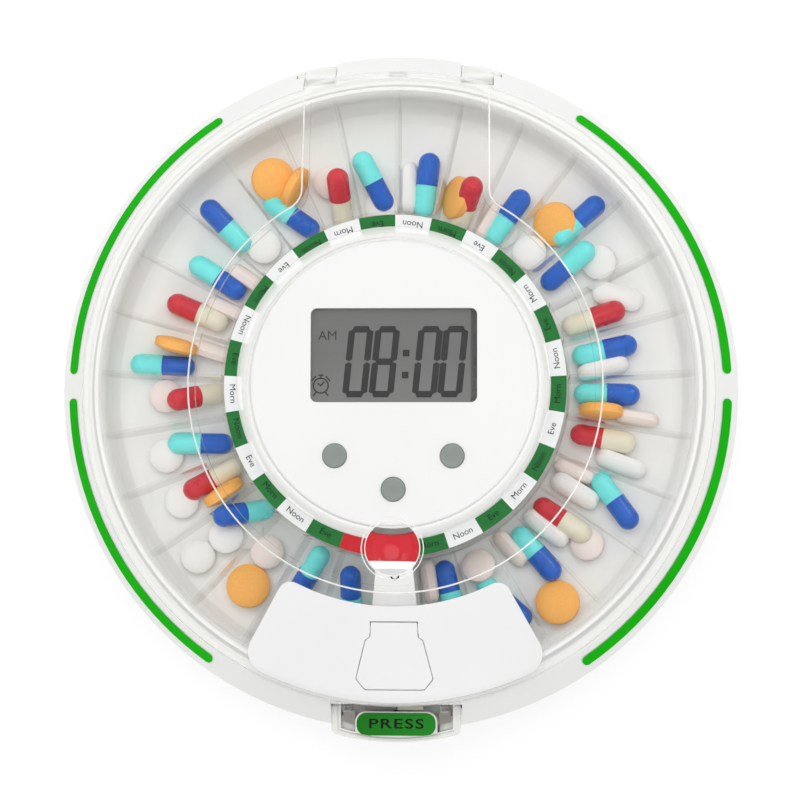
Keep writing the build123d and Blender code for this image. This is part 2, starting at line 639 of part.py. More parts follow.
ring_pitch_r = GEAR_MODULE * RING_TEETH / 2
pinion_pitch_r = GEAR_MODULE * PINION_TEETH / 2
RING_LOW_Z = TRAY_BOTTOM_Z + TRAY_FLOOR_T
RING_R = POCKET_R - TRAY_WALL
ring_space = tooth_outline(RING_TEETH, ring_pitch_r - ADDENDUM, ring_pitch_r + DEDENDUM, -BACKLASH)
drive_ring = can(RING_R, RING_LOW_Z, RING_LOW_Z + RING_GEAR_H) - prism(ring_space, RING_LOW_Z - 1,
                                                                      RING_LOW_Z + RING_GEAR_H + 1)
save("drive_ring", drive_ring)
pinion_corners = tooth_outline(PINION_TEETH, pinion_pitch_r - DEDENDUM, pinion_pitch_r + ADDENDUM, BACKLASH)
drive_pinion = Pos(MOTOR_X, 0, 0) * prism(pinion_corners, *PINION_Z)
drive_pinion = drive_pinion - can(SHAFT_R, 0, PINION_Z[1] + 1, MOTOR_X)
save("drive_pinion", drive_pinion)
save("motor_shaft", can(SHAFT_R, shaft_low + 0.2, PINION_Z[1] + 0.4, MOTOR_X))

# Tray with its 29 stations
pocket_floor_z = TRAY_BOTTOM_Z + TRAY_FLOOR_T
lip_top_z = SHELF_TOP_Z + LIP_H
tray = turned([
    (POCKET_R - TRAY_WALL - 0.6, TRAY_BOTTOM_Z), (TRAY_R, TRAY_BOTTOM_Z, 8), (TRAY_R, TRAY_TOP_Z, 0.4),
    (TRAY_R - TRAY_WALL, TRAY_TOP_Z), (TRAY_R - TRAY_WALL, pocket_floor_z, 6.8),
    (POCKET_R, pocket_floor_z, 1.5), (POCKET_R, lip_top_z), (LABEL_R_OUT + 0.2, lip_top_z),
    (LABEL_R_OUT + 0.2, SHELF_TOP_Z), (HUB_R, SHELF_TOP_Z), (HUB_R, SLEEVE_BOTTOM_Z),
    (HUB_R + 1.2, SLEEVE_BOTTOM_Z), (HUB_R + 1.2, SHELF_TOP_Z - SHELF_T),
    (POCKET_R - TRAY_WALL, SHELF_TOP_Z - SHELF_T), (POCKET_R - TRAY_WALL, pocket_floor_z),
    (POCKET_R - TRAY_WALL - 0.6, pocket_floor_z),
])
divider_space = turned([
    (POCKET_R - 0.4, pocket_floor_z - 0.4), (TRAY_R - TRAY_WALL + 0.4, pocket_floor_z - 0.4),
    (TRAY_R - TRAY_WALL + 0.4, TRAY_TOP_Z), (TRAY_R - TRAY_WALL, TRAY_TOP_Z),
    (POCKET_R, DIVIDER_TOP_Z), (POCKET_R - 0.4, DIVIDER_TOP_Z),
])
wall = block(POCKET_R - 1, TRAY_R, -DIVIDER_T / 2, DIVIDER_T / 2, pocket_floor_z - 1, SHELF_TOP_Z)
wall = ((wall & divider_space) - tray).solids().sort_by(SortBy.VOLUME)[-1]
save("tray", tray)
save("tray_dividers", *[Rot(0, 0, FRONT + (i + 0.5) * STATION) * wall for i in range(STATION_COUNT)])
save("dosage_ring", annulus(LABEL_R_IN, LABEL_R_OUT, SHELF_TOP_Z, SHELF_TOP_Z + LABEL_T))


def divider_top(radius):
    share = (radius - POCKET_R) / (TRAY_R - TRAY_WALL - POCKET_R)
    return DIVIDER_TOP_Z + share * (TRAY_TOP_Z - DIVIDER_TOP_Z)


# White cover of the closed station, lying on its two dividers and on the lip of the label ring
cover_in = LABEL_R_OUT + 0.25
cover_step = POCKET_R + 0.1
cover_bend = POCKET_R + 2.6
cover_out = TRAY_R - TRAY_WALL - 0.5
cover_band = turned([
    (cover_in, lip_top_z), (cover_in, lip_top_z + COVER_T), (POCKET_R + 0.6, lip_top_z + COVER_T),
    (cover_bend, divider_top(cover_bend) + COVER_T), (cover_out, divider_top(cover_out) + COVER_T),
    (cover_out, divider_top(cover_out)), (cover_step, divider_top(cover_step)), (cover_step, lip_top_z),
])
cover_half = STATION / 2 - 0.45
cover_plan = [polar(POCKET_R - 5, FRONT - cover_half), polar(TRAY_R + 5, FRONT - cover_half),
              polar(TRAY_R + 5, FRONT + cover_half), polar(POCKET_R - 5, FRONT + cover_half)]
save("closed_pocket_cover", cover_band & prism(cover_plan, LOW, BOSS_Z))

# Clock unit: face plate, window, display, board and switches
face_under_z = TOWER_TOP_Z
face_plate = can(FACE_R, face_under_z, FACE_TOP_Z)
face_plate = fillet(face_plate.edges().group_by(Axis.Z)[-1], 1.0)
glass_top_z = face_under_z - 0.1


def lcd_frame(margin, low, high, radius=LCD_CORNER):
    return soft_block(-LCD_W / 2 - margin, LCD_W / 2 + margin, LCD_Y - LCD_H / 2 - margin,
                      LCD_Y + LCD_H / 2 + margin, low, high, radius)


face_plate = face_plate - lcd_frame(0, face_under_z - 1, FACE_TOP_Z + 1)
board_top_z = BOARD_Z + BOARD_T
BOARD_POSTS = [polar(37.0, 30), polar(37.0, 150), polar(37.0, 215), polar(37.0, 325)]
for x, y in BOARD_POSTS:
    face_plate = face_plate + can(2.6, board_top_z, face_under_z + 0.5, x, y)
    face_plate = face_plate - can(1.25, board_top_z - 1, face_under_z - 2, x, y)
skirt = annulus(TOWER_IN_R - 1.4, TOWER_IN_R - SEAT_GAP, face_under_z - 3, face_under_z + 0.5)
face_plate = face_plate + skirt
for x, y in BUTTON_CAPS.values():
    face_plate = face_plate - can(CAP_R + 0.15, face_under_z - 1, FACE_TOP_Z + 1, x, y)
    face_plate = face_plate + annulus(CAP_R + 0.15, CAP_R + 1.2, face_under_z - 0.6, face_under_z + 0.5, x, y)
save("face_plate", face_plate)
save("lcd_window", lcd_frame(-SEAT_GAP, glass_top_z, FACE_TOP_Z - WINDOW_SUNK, LCD_CORNER - SEAT_GAP))
holder_top_z = glass_top_z - GLASS_T
save("lcd_glass", lcd_frame(1.6, holder_top_z, glass_top_z, 0.8))
save("lcd_holder", lcd_frame(1.6, board_top_z, holder_top_z, 0.8) - lcd_frame(-1.5, 0, BOSS_Z, 0.8))
board = can(BOARD_R, BOARD_Z, board_top_z)
board_screws = []
for x, y in BOARD_POSTS:
    board = board - can(1.25, 0, BOSS_Z, x, y)
    board_screws.append(screw(x, y, face_under_z - 2.2, face_under_z - 2.2 - BOARD_Z, 1.2, 2.2, 1.3))
save("circuit_board", board)
save("board_screws", *board_screws)
switches = []
for name, (x, y) in BUTTON_CAPS.items():
    half = SWITCH_SIDE / 2
    switch = block(x - half, x + half, y - half, y + half, board_top_z, board_top_z + SWITCH_H)
    switch = switch - can(PLUNGER_R + RUN_GAP, board_top_z + 1, BOSS_Z, x, y)
    switches.append(switch)
    plunger_low = board_top_z + 1 + CAP_TRAVEL + 0.2
    flange_top = face_under_z - 0.6 - 0.1
    flange_low = flange_top - 0.9
    plunger = can(PLUNGER_R, plunger_low, flange_low, x, y)
    save(f"{name}_plunger", plunger)
    cap = can(CAP_R, flange_low, FACE_TOP_Z + CAP_PROUD, x, y)
    cap = fillet(cap.edges().group_by(Axis.Z)[-1], 0.6)
    save(f"{name}_button", cap + can(CAP_R + CAP_FLANGE, flange_low, flange_top, x, y))
save("switch_bodies", *switches)


# Lid: a roof with a slope, a plateau with a neck to the hinge, and a centre boss
def slope_z(radius):
    share = (radius - LID_INNER_R) / (LID_R - LID_INNER_R)
    return LID_INNER_Z + share * (LID_SHOULDER_Z - LID_INNER_Z)


SLOPE_FALL = (LID_INNER_Z - LID_SHOULDER_Z) / (LID_R - LID_INNER_R)
NECK_FALL = (PLATEAU_Z - NECK_EDGE_Z) / (LID_R - LID_INNER_R)


def lid_volume(inset, low=LOW):
    """Everything under the lid's skin, drawn in by inset."""
    drop = inset * sqrt(1 + SLOPE_FALL**2)
    neck_drop = inset * sqrt(1 + NECK_FALL**2)
    edge_r = LID_R - inset
    bend = SHOULDER_FILLET - inset
    tuck_r = LID_INNER_R - 6
    outer = turned([
        (0, low), (edge_r, low), (edge_r, slope_z(edge_r) - drop, bend), (tuck_r, slope_z(tuck_r) - drop),
        (0, slope_z(tuck_r) - drop),
    ])
    neck_edge = NECK_EDGE_Z + NECK_FALL * inset - neck_drop
    roof = turned([
        (0, low), (edge_r, low), (edge_r, neck_edge, bend), (LID_INNER_R, PLATEAU_Z - neck_drop, 2),
        (0, PLATEAU_Z - neck_drop),
    ])
    half = NECK_HALF_W - inset
    neck_l = LID_R + 10
    plan = Circle(PLATEAU_R - inset) + Pos(0, neck_l / 2) * Rectangle(2 * half, neck_l)
    joints = [v for v in plan.vertices() if abs(abs(v.X) - half) < 0.01 and v.Y < PLATEAU_R]
    plan = fillet([v for v in joints if v.Y > 10], NECK_FILLET + inset)
    raised = extrude(Pos(0, 0, low) * plan, BOSS_Z) & roof
    boss = can(BOSS_R - inset, low, BOSS_Z - inset)
    boss = fillet(boss.edges().group_by(Axis.Z)[-1], max(BOSS_FILLET - inset, 0.4))
    return outer + raised + boss


skin = lid_volume(0, LID_EDGE_Z)
lens_tube = can(LENS_R + 0.1 + LENS_WALL, slope_z(LID_INNER_R), BOSS_Z - 0.4, 0, LENS_Y)
hollow = lid_volume(LID_WALL)
lid = (skin + lens_tube) - hollow
lid = lid - can(LENS_R + 0.1, LOW, BOSS_Z + 5, 0, LENS_Y)


def sector(r_in, r_out, half_angle, corners, low, high):
    """A sector about the front as an upright prism, with an inner and an outer corner radius."""
    left = FRONT - half_angle
    right = FRONT + half_angle
    points = [polar(r_in, left), polar(r_out, left), polar(r_out, right), polar(r_in, right)]
    edges = [
        Line(points[0], points[1]),
        ThreePointArc(points[1], (0, -r_out), points[2]),
        Line(points[2], points[3]),
        ThreePointArc(points[3], (0, -r_in), points[0]),
    ]
    face = Pos(0, 0, low) * Face(Wire(edges))
    solid = extrude(face, high - low, dir=(0, 0, 1))
    uprights = solid.edges().filter_by(Axis.Z).sort_by(Axis.Y)
    solid = fillet(uprights[-2:], corners[0])
    uprights = solid.edges().filter_by(Axis.Z)
    outer_y = -(r_in + r_out) / 2 * cos(radians(half_angle))
    return fillet([e for e in uprights if e.center().Y < outer_y], corners[1])


# Hatch panel laid in a recess of the lid, with the pill hole and the flap
recess_volume = lid_volume(PANEL_RECESS)
proud_volume = lid_volume(-PANEL_PROUD)
panel_plan = sector(PANEL_R_IN, PANEL_R_OUT, PANEL_HALF_ANGLE, PANEL_CORNERS, LOW, BOSS_Z + 5)
recess_plan = sector(PANEL_R_IN - SEAT_GAP, PANEL_R_OUT + SEAT_GAP, PANEL_HALF_ANGLE + 0.05, PANEL_CORNERS,
                     LOW, BOSS_Z + 5)
lid = lid - (recess_plan - recess_volume)
panel = (panel_plan & proud_volume) - recess_volume


def flap_prism(grow, low=LOW, high=BOSS_Z + 5, corner=1.0):
    """The flap's outline as an upright prism, grown by grow."""
    right = []
    for i, (x, y) in enumerate(FLAP_OUTLINE):
        if i == 0:
            right.append((x + grow, y + grow))
        elif i == len(FLAP_OUTLINE) - 1:
            right.append((x + grow * 0.5, y - grow, corner))
        elif i == 2:
            right.append((x + grow, y + grow * 0.4, corner / 2))
        else:
            right.append((x + grow, y - grow * 0.3, corner if i > 2 else corner / 2))
    left = [(-p[0], *p[1:]) for p in reversed(right)]
    return prism(right + left, low, high)


flap_axis_z = slope_z(-FLAP_AXIS_Y) - FLAP_BARREL_R + 0.1
swing_r = 2.6
barrel_half = FLAP_OUTLINE[0][0]
trough = rod(swing_r, -barrel_half - MOVE_GAP, barrel_half + MOVE_GAP, FLAP_AXIS_Y, flap_axis_z)
ear_x = (barrel_half + MOVE_GAP, barrel_half + MOVE_GAP + 1.8)
panel = panel - flap_prism(MOVE_GAP + 0.05) - trough
for side in (-1, 1):
    x0, x1 = sorted((side * ear_x[0], side * ear_x[1]))
    hanging = block(x0, x1, FLAP_AXIS_Y - 1.6, FLAP_AXIS_Y + 1.6, flap_axis_z - 1.3, flap_axis_z + 1.6)
    panel = panel + (hanging & proud_volume)
panel = panel - rod(FLAP_PIN_R + RUN_GAP, -ear_x[1] - 1, ear_x[1] + 1, FLAP_AXIS_Y, flap_axis_z)
before_axis = block(-PANEL_R_OUT, PANEL_R_OUT, -LID_R, FLAP_AXIS_Y, LOW, BOSS_Z + 10)
pill_hole = flap_prism(-FLAP_LEDGE, corner=0.5) & before_axis
ear_hole = block(-ear_x[1] - 0.2, ear_x[1] + 0.2, FLAP_AXIS_Y - 1.8, FLAP_AXIS_Y + 1.8, LOW, BOSS_Z - 8)
lid = lid - pill_hole - ear_hole - trough
flap = (flap_prism(0) & lid_volume(-PANEL_PROUD)) - lid_volume(PANEL_RECESS - 0.2)
flap = flap + rod(FLAP_BARREL_R, -barrel_half, barrel_half, FLAP_AXIS_Y, flap_axis_z)
flap = flap + rod(FLAP_PIN_R, -ear_x[1] + 0.1, ear_x[1] - 0.1, FLAP_AXIS_Y, flap_axis_z)
save("hatch_panel", panel)
save("hatch_flap", flap)

# Lens over the dose ring
def dome(rise, apex_z, side):
    """The sphere whose cap of this rise covers the lens, with its apex at apex_z."""
    dome_r = (LENS_R**2 + rise**2) / (2 * rise)
    return Pos(0, 0, apex_z - side * dome_r) * Sphere(dome_r)


dose_lens = can(LENS_R, LENS_BOTTOM_Z, LENS_TOP_Z)
dose_lens = dose_lens & dome(LENS_RISE[1], LENS_TOP_Z, 1) & dome(LENS_RISE[0], LENS_BOTTOM_Z, -1)
save("dose_lens", Pos(0, LENS_Y, 0) * dose_lens)

# Hinge lugs of the lid, trimmed flush with the rim
lug_trim = turned([
    (0, LOW), (BASE_R, LOW), (BASE_R, RIM_EDGE_Z), (RIM_TOP_R + 0.3, RIM_TOP_Z),
    (RIM_TOP_R + 0.3, LID_EDGE_Z + 5), (0, LID_EDGE_Z + 5),
])
lug_root_y = BOWL_R - 2
lug_root_z = LID_EDGE_Z + 4
lug_front_y = HINGE_Y - LUG_R
lug_section = [(lug_root_y, LID_EDGE_Z + 0.1), (lug_front_y, LID_EDGE_Z + 0.1), (lug_front_y, HINGE_Z),
               (HINGE_Y + LUG_R, HINGE_Z), (HINGE_Y + LUG_R, HINGE_Z + 5), (LID_R + 1, lug_root_z),
               (lug_root_y, lug_root_z)]
for side in (-1, 1):
    x0, x1 = sorted((side * LUG_X[0], side * LUG_X[1]))
    lug = (along_x(lug_section, x0, x1) & lug_trim) - lid_volume(LID_WALL)
    lug = lug + (rod(LUG_R, x0, x1, HINGE_Y, HINGE_Z) & lug_trim)
    lid = lid + lug
lid = lid - rod(HINGE_PIN_R + RUN_GAP, -LUG_X[1] - 1, LUG_X[1] + 1, HINGE_Y, HINGE_Z)
save("hinge_pin", rod(HINGE_PIN_R, 0.4 - pin_reach, pin_reach - 0.4, HINGE_Y, HINGE_Z))

# Front tab of the lid with its two catch tongues
tab_side = along_x([
    (2 - BOWL_R, LID_EDGE_Z), (2 - BOWL_R, LID_EDGE_Z + 3.6), (-LID_R, LID_EDGE_Z + 2.6),
    (BULGE_Y + 1.2, TAB_TOP_Z), (BULGE_Y - 1, TAB_TOP_Z - 1.2),
    (BULGE_Y - 1, BULGE_TOP_Z + MOVE_GAP), (WELL_BACK_Y, BULGE_TOP_Z + MOVE_GAP), (WELL_BACK_Y, LID_EDGE_Z),
], -BULGE_HALF_W, BULGE_HALF_W)
tab = bulge(0, LOW, BOSS_Z) & tab_side
window_back_y = 9 - BOWL_R
tab_window = bulge(TAB_WALL, LOW, BOSS_Z, window_back_y)
tab_window = tab_window & block(-TAB_ARM_X, TAB_ARM_X, BULGE_Y, window_back_y, LOW, BOSS_Z)
tab = tab - tab_window - lid_volume(LID_WALL)
lid = lid + tab
for side in (-1, 1):
    x0, x1 = sorted((side * TONGUE_X[0], side * TONGUE_X[1]))
    tongue = along_x([
        (0.2 - BOWL_R, LID_EDGE_Z + 0.2), (TONGUE_Y[1], LID_EDGE_Z + 0.2), (TONGUE_Y[1], TOOTH_Z[0]),
        (TONGUE_Y[0] - 0.6, TOOTH_Z[0]), (TOOTH_Y, TOOTH_Z[0] + 0.9), (TOOTH_Y, TOOTH_Z[1]),
        (TONGUE_Y[0], TOOTH_Z[1]), (TONGUE_Y[0], LID_EDGE_Z + 2), (0.2 - BOWL_R, LID_EDGE_Z + 3),
    ], x0, x1)
    lid = lid + tongue
save("lid", lid)

# Release button, its label, the latch slider and their spring
cap_low_z = BUTTON_TOP_Z - BUTTON_CAP_T
button_limit = bulge(TAB_WALL + LATCH_GAP, LOW, BOSS_Z)
release_button = soft_block(-BUTTON_HALF_W, BUTTON_HALF_W, BUTTON_Y[0] - 1, BUTTON_Y[1], cap_low_z,
                            BUTTON_TOP_Z, 3.2)
release_button = release_button & button_limit
release_button = fillet(release_button.edges().group_by(Axis.Z)[-1], 0.5)


def wedge_line(z, shift=0.0):
    """Y of the slanted face shared by the button's legs and the slider."""
    return WEDGE_Y - (z - SLIDER_Z[0]) + shift


leg_low = SLIDER_Z[0] - 0.6
leg_back_y = WEDGE_Y + 1.0
leg_high = SLIDER_Z[1] + BUTTON_TRAVEL + 0.2
for side in (-1, 1):
    x0, x1 = sorted((side * (BUTTON_HALF_W - 5.6), side * (BUTTON_HALF_W - 1.6)))
    leg = along_x([
        (leg_back_y, cap_low_z + 0.5), (leg_back_y, leg_low), (wedge_line(leg_low, 0.15), leg_low),
        (wedge_line(leg_high, 0.15), leg_high), (wedge_line(leg_high, 0.15), cap_low_z + 0.5),
    ], x0, x1)
    release_button = release_button + leg
spring_wire = 0.45
spring_r = 1.9
release_button = release_button - can(spring_r + 0.8, LOW, cap_low_z + 0.8, 0, SPRING_Y)
save("release_button", release_button)
label_y = BUTTON_Y[1] - 0.3 - LABEL_D / 2
release_label = soft_block(-LABEL_W / 2, LABEL_W / 2, label_y - LABEL_D / 2, label_y + LABEL_D / 2,
                           BUTTON_TOP_Z, BUTTON_TOP_Z + LABEL_THICK, 3.1)
save("press_label", release_label & bulge(TAB_WALL + LATCH_GAP, LOW, BOSS_Z))
slider = along_x([
    (wedge_line(SLIDER_Z[0]), SLIDER_Z[0]), (wedge_line(SLIDER_Z[1]), SLIDER_Z[1]),
    (SLIDER_FRONT_Y, SLIDER_Z[1]), (SLIDER_FRONT_Y, SLIDER_Z[0]),
], -WELL_HALF_W + 0.7, WELL_HALF_W - 0.7)
slider_limit = Pos(0, BUTTON_TRAVEL, 0) * bulge(WELL_WALL + MOVE_GAP, LOW, BOSS_Z)
for side in (-1, 1):
    x0, x1 = sorted((side * (BUTTON_HALF_W + 0.4), side * (WELL_HALF_W - 0.7)))
    slider = slider + block(x0, x1, SLIDER_FRONT_Y, TONGUE_Y[0] - 0.35, *SLIDER_Z)
slider = slider & slider_limit
slider = slider - block(-3.2, 3.2, SPRING_Y - 2.4, WELL_BACK_Y, SLIDER_Z[0] - 1, SLIDER_Z[1] + 1)
save("latch_slider", slider)
spring_low = WELL_FLOOR_Z + spring_wire + SEAT_GAP
spring_high = cap_low_z + 0.8 - spring_wire - SEAT_GAP
spring_turns = 5
spring_pitch = (spring_high - spring_low) / spring_turns
report_gap("latch_spring", spring_pitch, spring_wire)
save("latch_spring", wire_tube(coil_stops(Vector(0, SPRING_Y, spring_low), Vector(0, 0, 1), Vector(1, 0, 0),
                                          spring_r, spring_pitch, spring_turns), spring_wire))

# Lid sensor and its steel bracket on the well floor
save("lid_sensor", block(0.3, 8.5, BUTTON_Y[1] + LATCH_GAP, WELL_BACK_Y - 0.3, WELL_FLOOR_Z, SENSOR_TOP_Z))
bracket_top_z = SENSOR_TOP_Z - 0.4
bracket = block(-10, -0.3, BUTTON_Y[1] + LATCH_GAP, WELL_BACK_Y - 0.3, WELL_FLOOR_Z, bracket_top_z)
bracket = bracket - block(-9, -1.3, BUTTON_Y[1] - 1, WELL_BACK_Y - 1.2, WELL_FLOOR_Z + 1, bracket_top_z - 1.2)
save("sensor_bracket", bracket)

# Double torsion spring of the lid hinge: two coils round the pin, joined by the bight at the lid's edge
TORSION_WIRE = 0.35
TORSION_R = 1.5
TORSION_PITCH = 1.2
TORSION_TURNS = 3
COIL_X = 4.2
LEG_DROP = 2.4
bight_z = LID_EDGE_Z - TORSION_WIRE + 0.05
bight_y = LID_R + TORSION_WIRE + 0.2
DOWN = Vector(0, 0, -1)
front_y = HINGE_Y - TORSION_R
half_bight = [
    (Vector(0.6, bight_y, bight_z), Vector(1, 0, 0)),
    (Vector(1.6, bight_y, bight_z - 1.1), DOWN),
    (Vector(COIL_X, front_y, HINGE_Z + 1.2), DOWN),
]
half_coil = coil_stops(Vector(COIL_X, HINGE_Y, HINGE_Z), Vector(1, 0, 0), Vector(0, -1, 0), TORSION_R,
                       TORSION_PITCH, TORSION_TURNS)
coil_end_x = COIL_X + TORSION_PITCH * TORSION_TURNS
leg_end = (Vector(coil_end_x + 0.2, front_y, HINGE_Z - LEG_DROP), DOWN)
right_half = half_bight + half_coil + [leg_end]
left_half = [(Vector(-p.X, p.Y, p.Z), Vector(d.X, -d.Y, -d.Z)) for p, d in reversed(right_half)]
report_gap("lid_spring", TORSION_PITCH, TORSION_WIRE)
save("lid_spring", wire_tube(left_half + right_half, TORSION_WIRE))
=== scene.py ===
from math import atan2, cos, hypot, pi, radians, sin

import bmesh
import bpy
from mathutils import Matrix, Vector


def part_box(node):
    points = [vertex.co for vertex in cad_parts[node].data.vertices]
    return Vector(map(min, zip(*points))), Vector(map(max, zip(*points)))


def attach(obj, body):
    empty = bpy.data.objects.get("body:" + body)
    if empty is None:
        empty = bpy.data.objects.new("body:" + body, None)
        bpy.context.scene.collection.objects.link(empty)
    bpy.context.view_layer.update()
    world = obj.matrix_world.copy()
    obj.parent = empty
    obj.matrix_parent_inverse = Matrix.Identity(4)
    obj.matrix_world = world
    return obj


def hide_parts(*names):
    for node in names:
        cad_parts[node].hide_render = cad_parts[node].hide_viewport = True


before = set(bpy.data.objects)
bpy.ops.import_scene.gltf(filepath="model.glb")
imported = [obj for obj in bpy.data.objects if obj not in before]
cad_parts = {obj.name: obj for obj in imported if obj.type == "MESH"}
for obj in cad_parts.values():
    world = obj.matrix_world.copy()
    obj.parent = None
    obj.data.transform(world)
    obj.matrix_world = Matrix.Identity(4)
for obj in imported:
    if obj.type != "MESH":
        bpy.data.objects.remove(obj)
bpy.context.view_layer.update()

# Camera. The box is photographed from above, leaning 5 degrees towards the front right and held
# level, with the tray's spin axis just above the middle of the picture.
aim = Vector((0.0005, -0.0032, 0.025))
lean, heading = radians(4.88), radians(37)
away = Vector((sin(lean) * sin(heading), -sin(lean) * cos(heading), cos(lean)))
camera = bpy.data.objects.new("camera", bpy.data.cameras.new("camera"))
bpy.context.scene.collection.objects.link(camera)
right = (Vector((1, 0, 0)) - away * away.x).normalized()
facing = Matrix((right, away.cross(right), away)).transposed().to_4x4()
camera.matrix_world = Matrix.Translation(aim + away * 0.65) @ facing
camera.data.lens = 89.7
camera.data.sensor_width = 36
camera.data.clip_start = 0.05
bpy.context.scene.camera = camera
bpy.context.scene.view_settings.view_transform = "Standard"

# Studio. Pale walls all round that darken towards the ceiling, where the camera hangs, a wide
# softbox overhead that lights the pockets, and three low ones round the box.
world = bpy.data.worlds.new("studio")
bpy.context.scene.world = world
world.use_nodes = True
sky = world.node_tree
sky.nodes.clear()
way = sky.nodes.new("ShaderNodeTexCoord")
upward = sky.nodes.new("ShaderNodeSeparateXYZ")
sky.links.new(way.outputs["Generated"], upward.inputs["Vector"])
level = sky.nodes.new("ShaderNodeMapRange")
level.inputs["From Min"].default_value = 0.35
level.inputs["From Max"].default_value = 0.95
level.inputs["To Min"].default_value = 0.85
level.inputs["To Max"].default_value = 0.30
sky.links.new(upward.outputs["Z"], level.inputs["Value"])
walls = sky.nodes.new("ShaderNodeBackground")
walls.inputs["Color"].default_value = (1, 1, 1, 1)
sky.links.new(level.outputs["Result"], walls.inputs["Strength"])
sky.links.new(walls.outputs[0], sky.nodes.new("ShaderNodeOutputWorld").inputs["Surface"])


def softbox(name, place, size, watts, mirrored=True):
    """A round soft lamp aimed at the box; mirrored ones show in glossy surfaces."""
    lamp = bpy.data.lights.new(name, "AREA")
    lamp.shape = "DISK"
    lamp.size = size
    lamp.energy = watts
    holder = bpy.data.objects.new(name, lamp)
    bpy.context.scene.collection.objects.link(holder)
    holder.location = place
    holder.rotation_mode = "QUATERNION"
    holder.rotation_quaternion = Vector(place).to_track_quat("Z", "Y")
    holder.visible_glossy = mirrored


softbox("overhead", (0.0, 0.2, 1.2), 1.0, 7.6, mirrored=False)
softbox("back_left", (-0.75, 0.45, 0.85), 0.5, 1.0, mirrored=False)
softbox("back_right", (0.75, 0.65, 0.8), 0.3, 1.1)
softbox("front", (0.1, -0.9, 0.8), 0.5, 0.9, mirrored=False)
bpy.context.scene.cycles.transparent_max_bounces = 32


# Table. A plain white sheet that keeps the box's soft shadow.
def material(name):
    """A new material; returns it with its node tree and its Principled shader."""
    made = bpy.data.materials.new(name)
    made.use_nodes = True
    return made, made.node_tree, made.node_tree.nodes["Principled BSDF"]


def piece(name, bm, *materials, smooth=35, body=None, slot=None):
    """An object from a bmesh, with its materials, its smoothing angle and its body; its slot is not used."""
    mesh = bpy.data.meshes.new(name)
    bm.to_mesh(mesh)
    bm.free()
    made = bpy.data.objects.new(name, mesh)
    bpy.context.scene.collection.objects.link(made)
    for finish in materials:
        mesh.materials.append(finish)
    mesh.shade_smooth()
    mesh.set_sharp_from_angle(angle=radians(smooth))
    if body:
        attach(made, body)
    return made


def combined(tree, operation, *values):
    """A Math node's result for sockets or plain numbers."""
    node = tree.nodes.new("ShaderNodeMath")
    node.operation = operation
    for socket, value in zip(node.inputs, values):
        if isinstance(value, (int, float)):
            socket.default_value = value
        else:
            tree.links.new(value, socket)
    return node.outputs[0]


def ramped(tree, value, start, end, low=0.0, high=1.0):
    """The value's run from start to end, turned into one from low to high."""
    ramp = tree.nodes.new("ShaderNodeMapRange")
    for name, number in (("From Min", start), ("From Max", end), ("To Min", low), ("To Max", high)):
        ramp.inputs[name].default_value = number
    tree.links.new(value, ramp.inputs["Value"])
    return ramp.outputs["Result"]


def mixed_shader(tree, share, first, second):
    """Two shaders mixed by share."""
    mix = tree.nodes.new("ShaderNodeMixShader")
    tree.links.new(share, mix.inputs["Fac"])
    tree.links.new(first, mix.inputs[1])
    tree.links.new(second, mix.inputs[2])
    return mix.outputs[0]


table_white, tree, shader = material("table_white")
shader.inputs["Base Color"].default_value = (0.95, 0.95, 0.95, 1)
shader.inputs["Roughness"].default_value = 0.9
glow = tree.nodes.new("ShaderNodeEmission")
glow.inputs["Strength"].default_value = 1.03
ray = tree.nodes.new("ShaderNodeLightPath")
mirrored = combined(tree, "MAXIMUM", ray.outputs["Is Glossy Ray"], ray.outputs["Is Transmission Ray"])
seen = combined(tree, "MAXIMUM", ray.outputs["Is Camera Ray"], mirrored)
blend = mixed_shader(tree, combined(tree, "MULTIPLY", seen, 0.72), shader.outputs[0], glow.outputs[0])
tree.links.new(blend, tree.nodes["Material Output"].inputs["Surface"])
sheet = bmesh.new()
bmesh.ops.create_grid(sheet, x_segments=1, y_segments=1, size=3.0)
piece("table", sheet, table_white)


# White housing: base shell, rim with its tower, and the battery cover.
# Glossy injection-moulded ABS, screwed together from below.
def object_noise(tree, scale, detail=2.0, roughness=0.5):
    place = tree.nodes.new("ShaderNodeTexCoord")
    noise = tree.nodes.new("ShaderNodeTexNoise")
    noise.inputs["Scale"].default_value = scale
    noise.inputs["Detail"].default_value = detail
    noise.inputs["Roughness"].default_value = roughness
    tree.links.new(place.outputs["Object"], noise.inputs["Vector"])
    return noise.outputs["Fac"]


def spread(tree, value, low, high):
    """The noise stretched over low to high."""
    return ramped(tree, value, 0.3, 0.7, low, high)


def tinted(tree, value, first, second):
    """A colour that runs from first to second with the noise."""
    mix = tree.nodes.new("ShaderNodeMix")
    mix.data_type = "RGBA"
    mix.inputs["A"].default_value = (*first, 1)
    mix.inputs["B"].default_value = (*second, 1)
    tree.links.new(spread(tree, value, 0, 1), mix.inputs["Factor"])
    return mix.outputs["Result"]


def grained(tree, shader, scale, depth):
    """Fine moulding grain of this depth in metres."""
    bump = tree.nodes.new("ShaderNodeBump")
    bump.inputs["Distance"].default_value = depth
    bump.inputs["Strength"].default_value = 0.6
    tree.links.new(object_noise(tree, scale, 3), bump.inputs["Height"])
    tree.links.new(bump.outputs["Normal"], shader.inputs["Normal"])


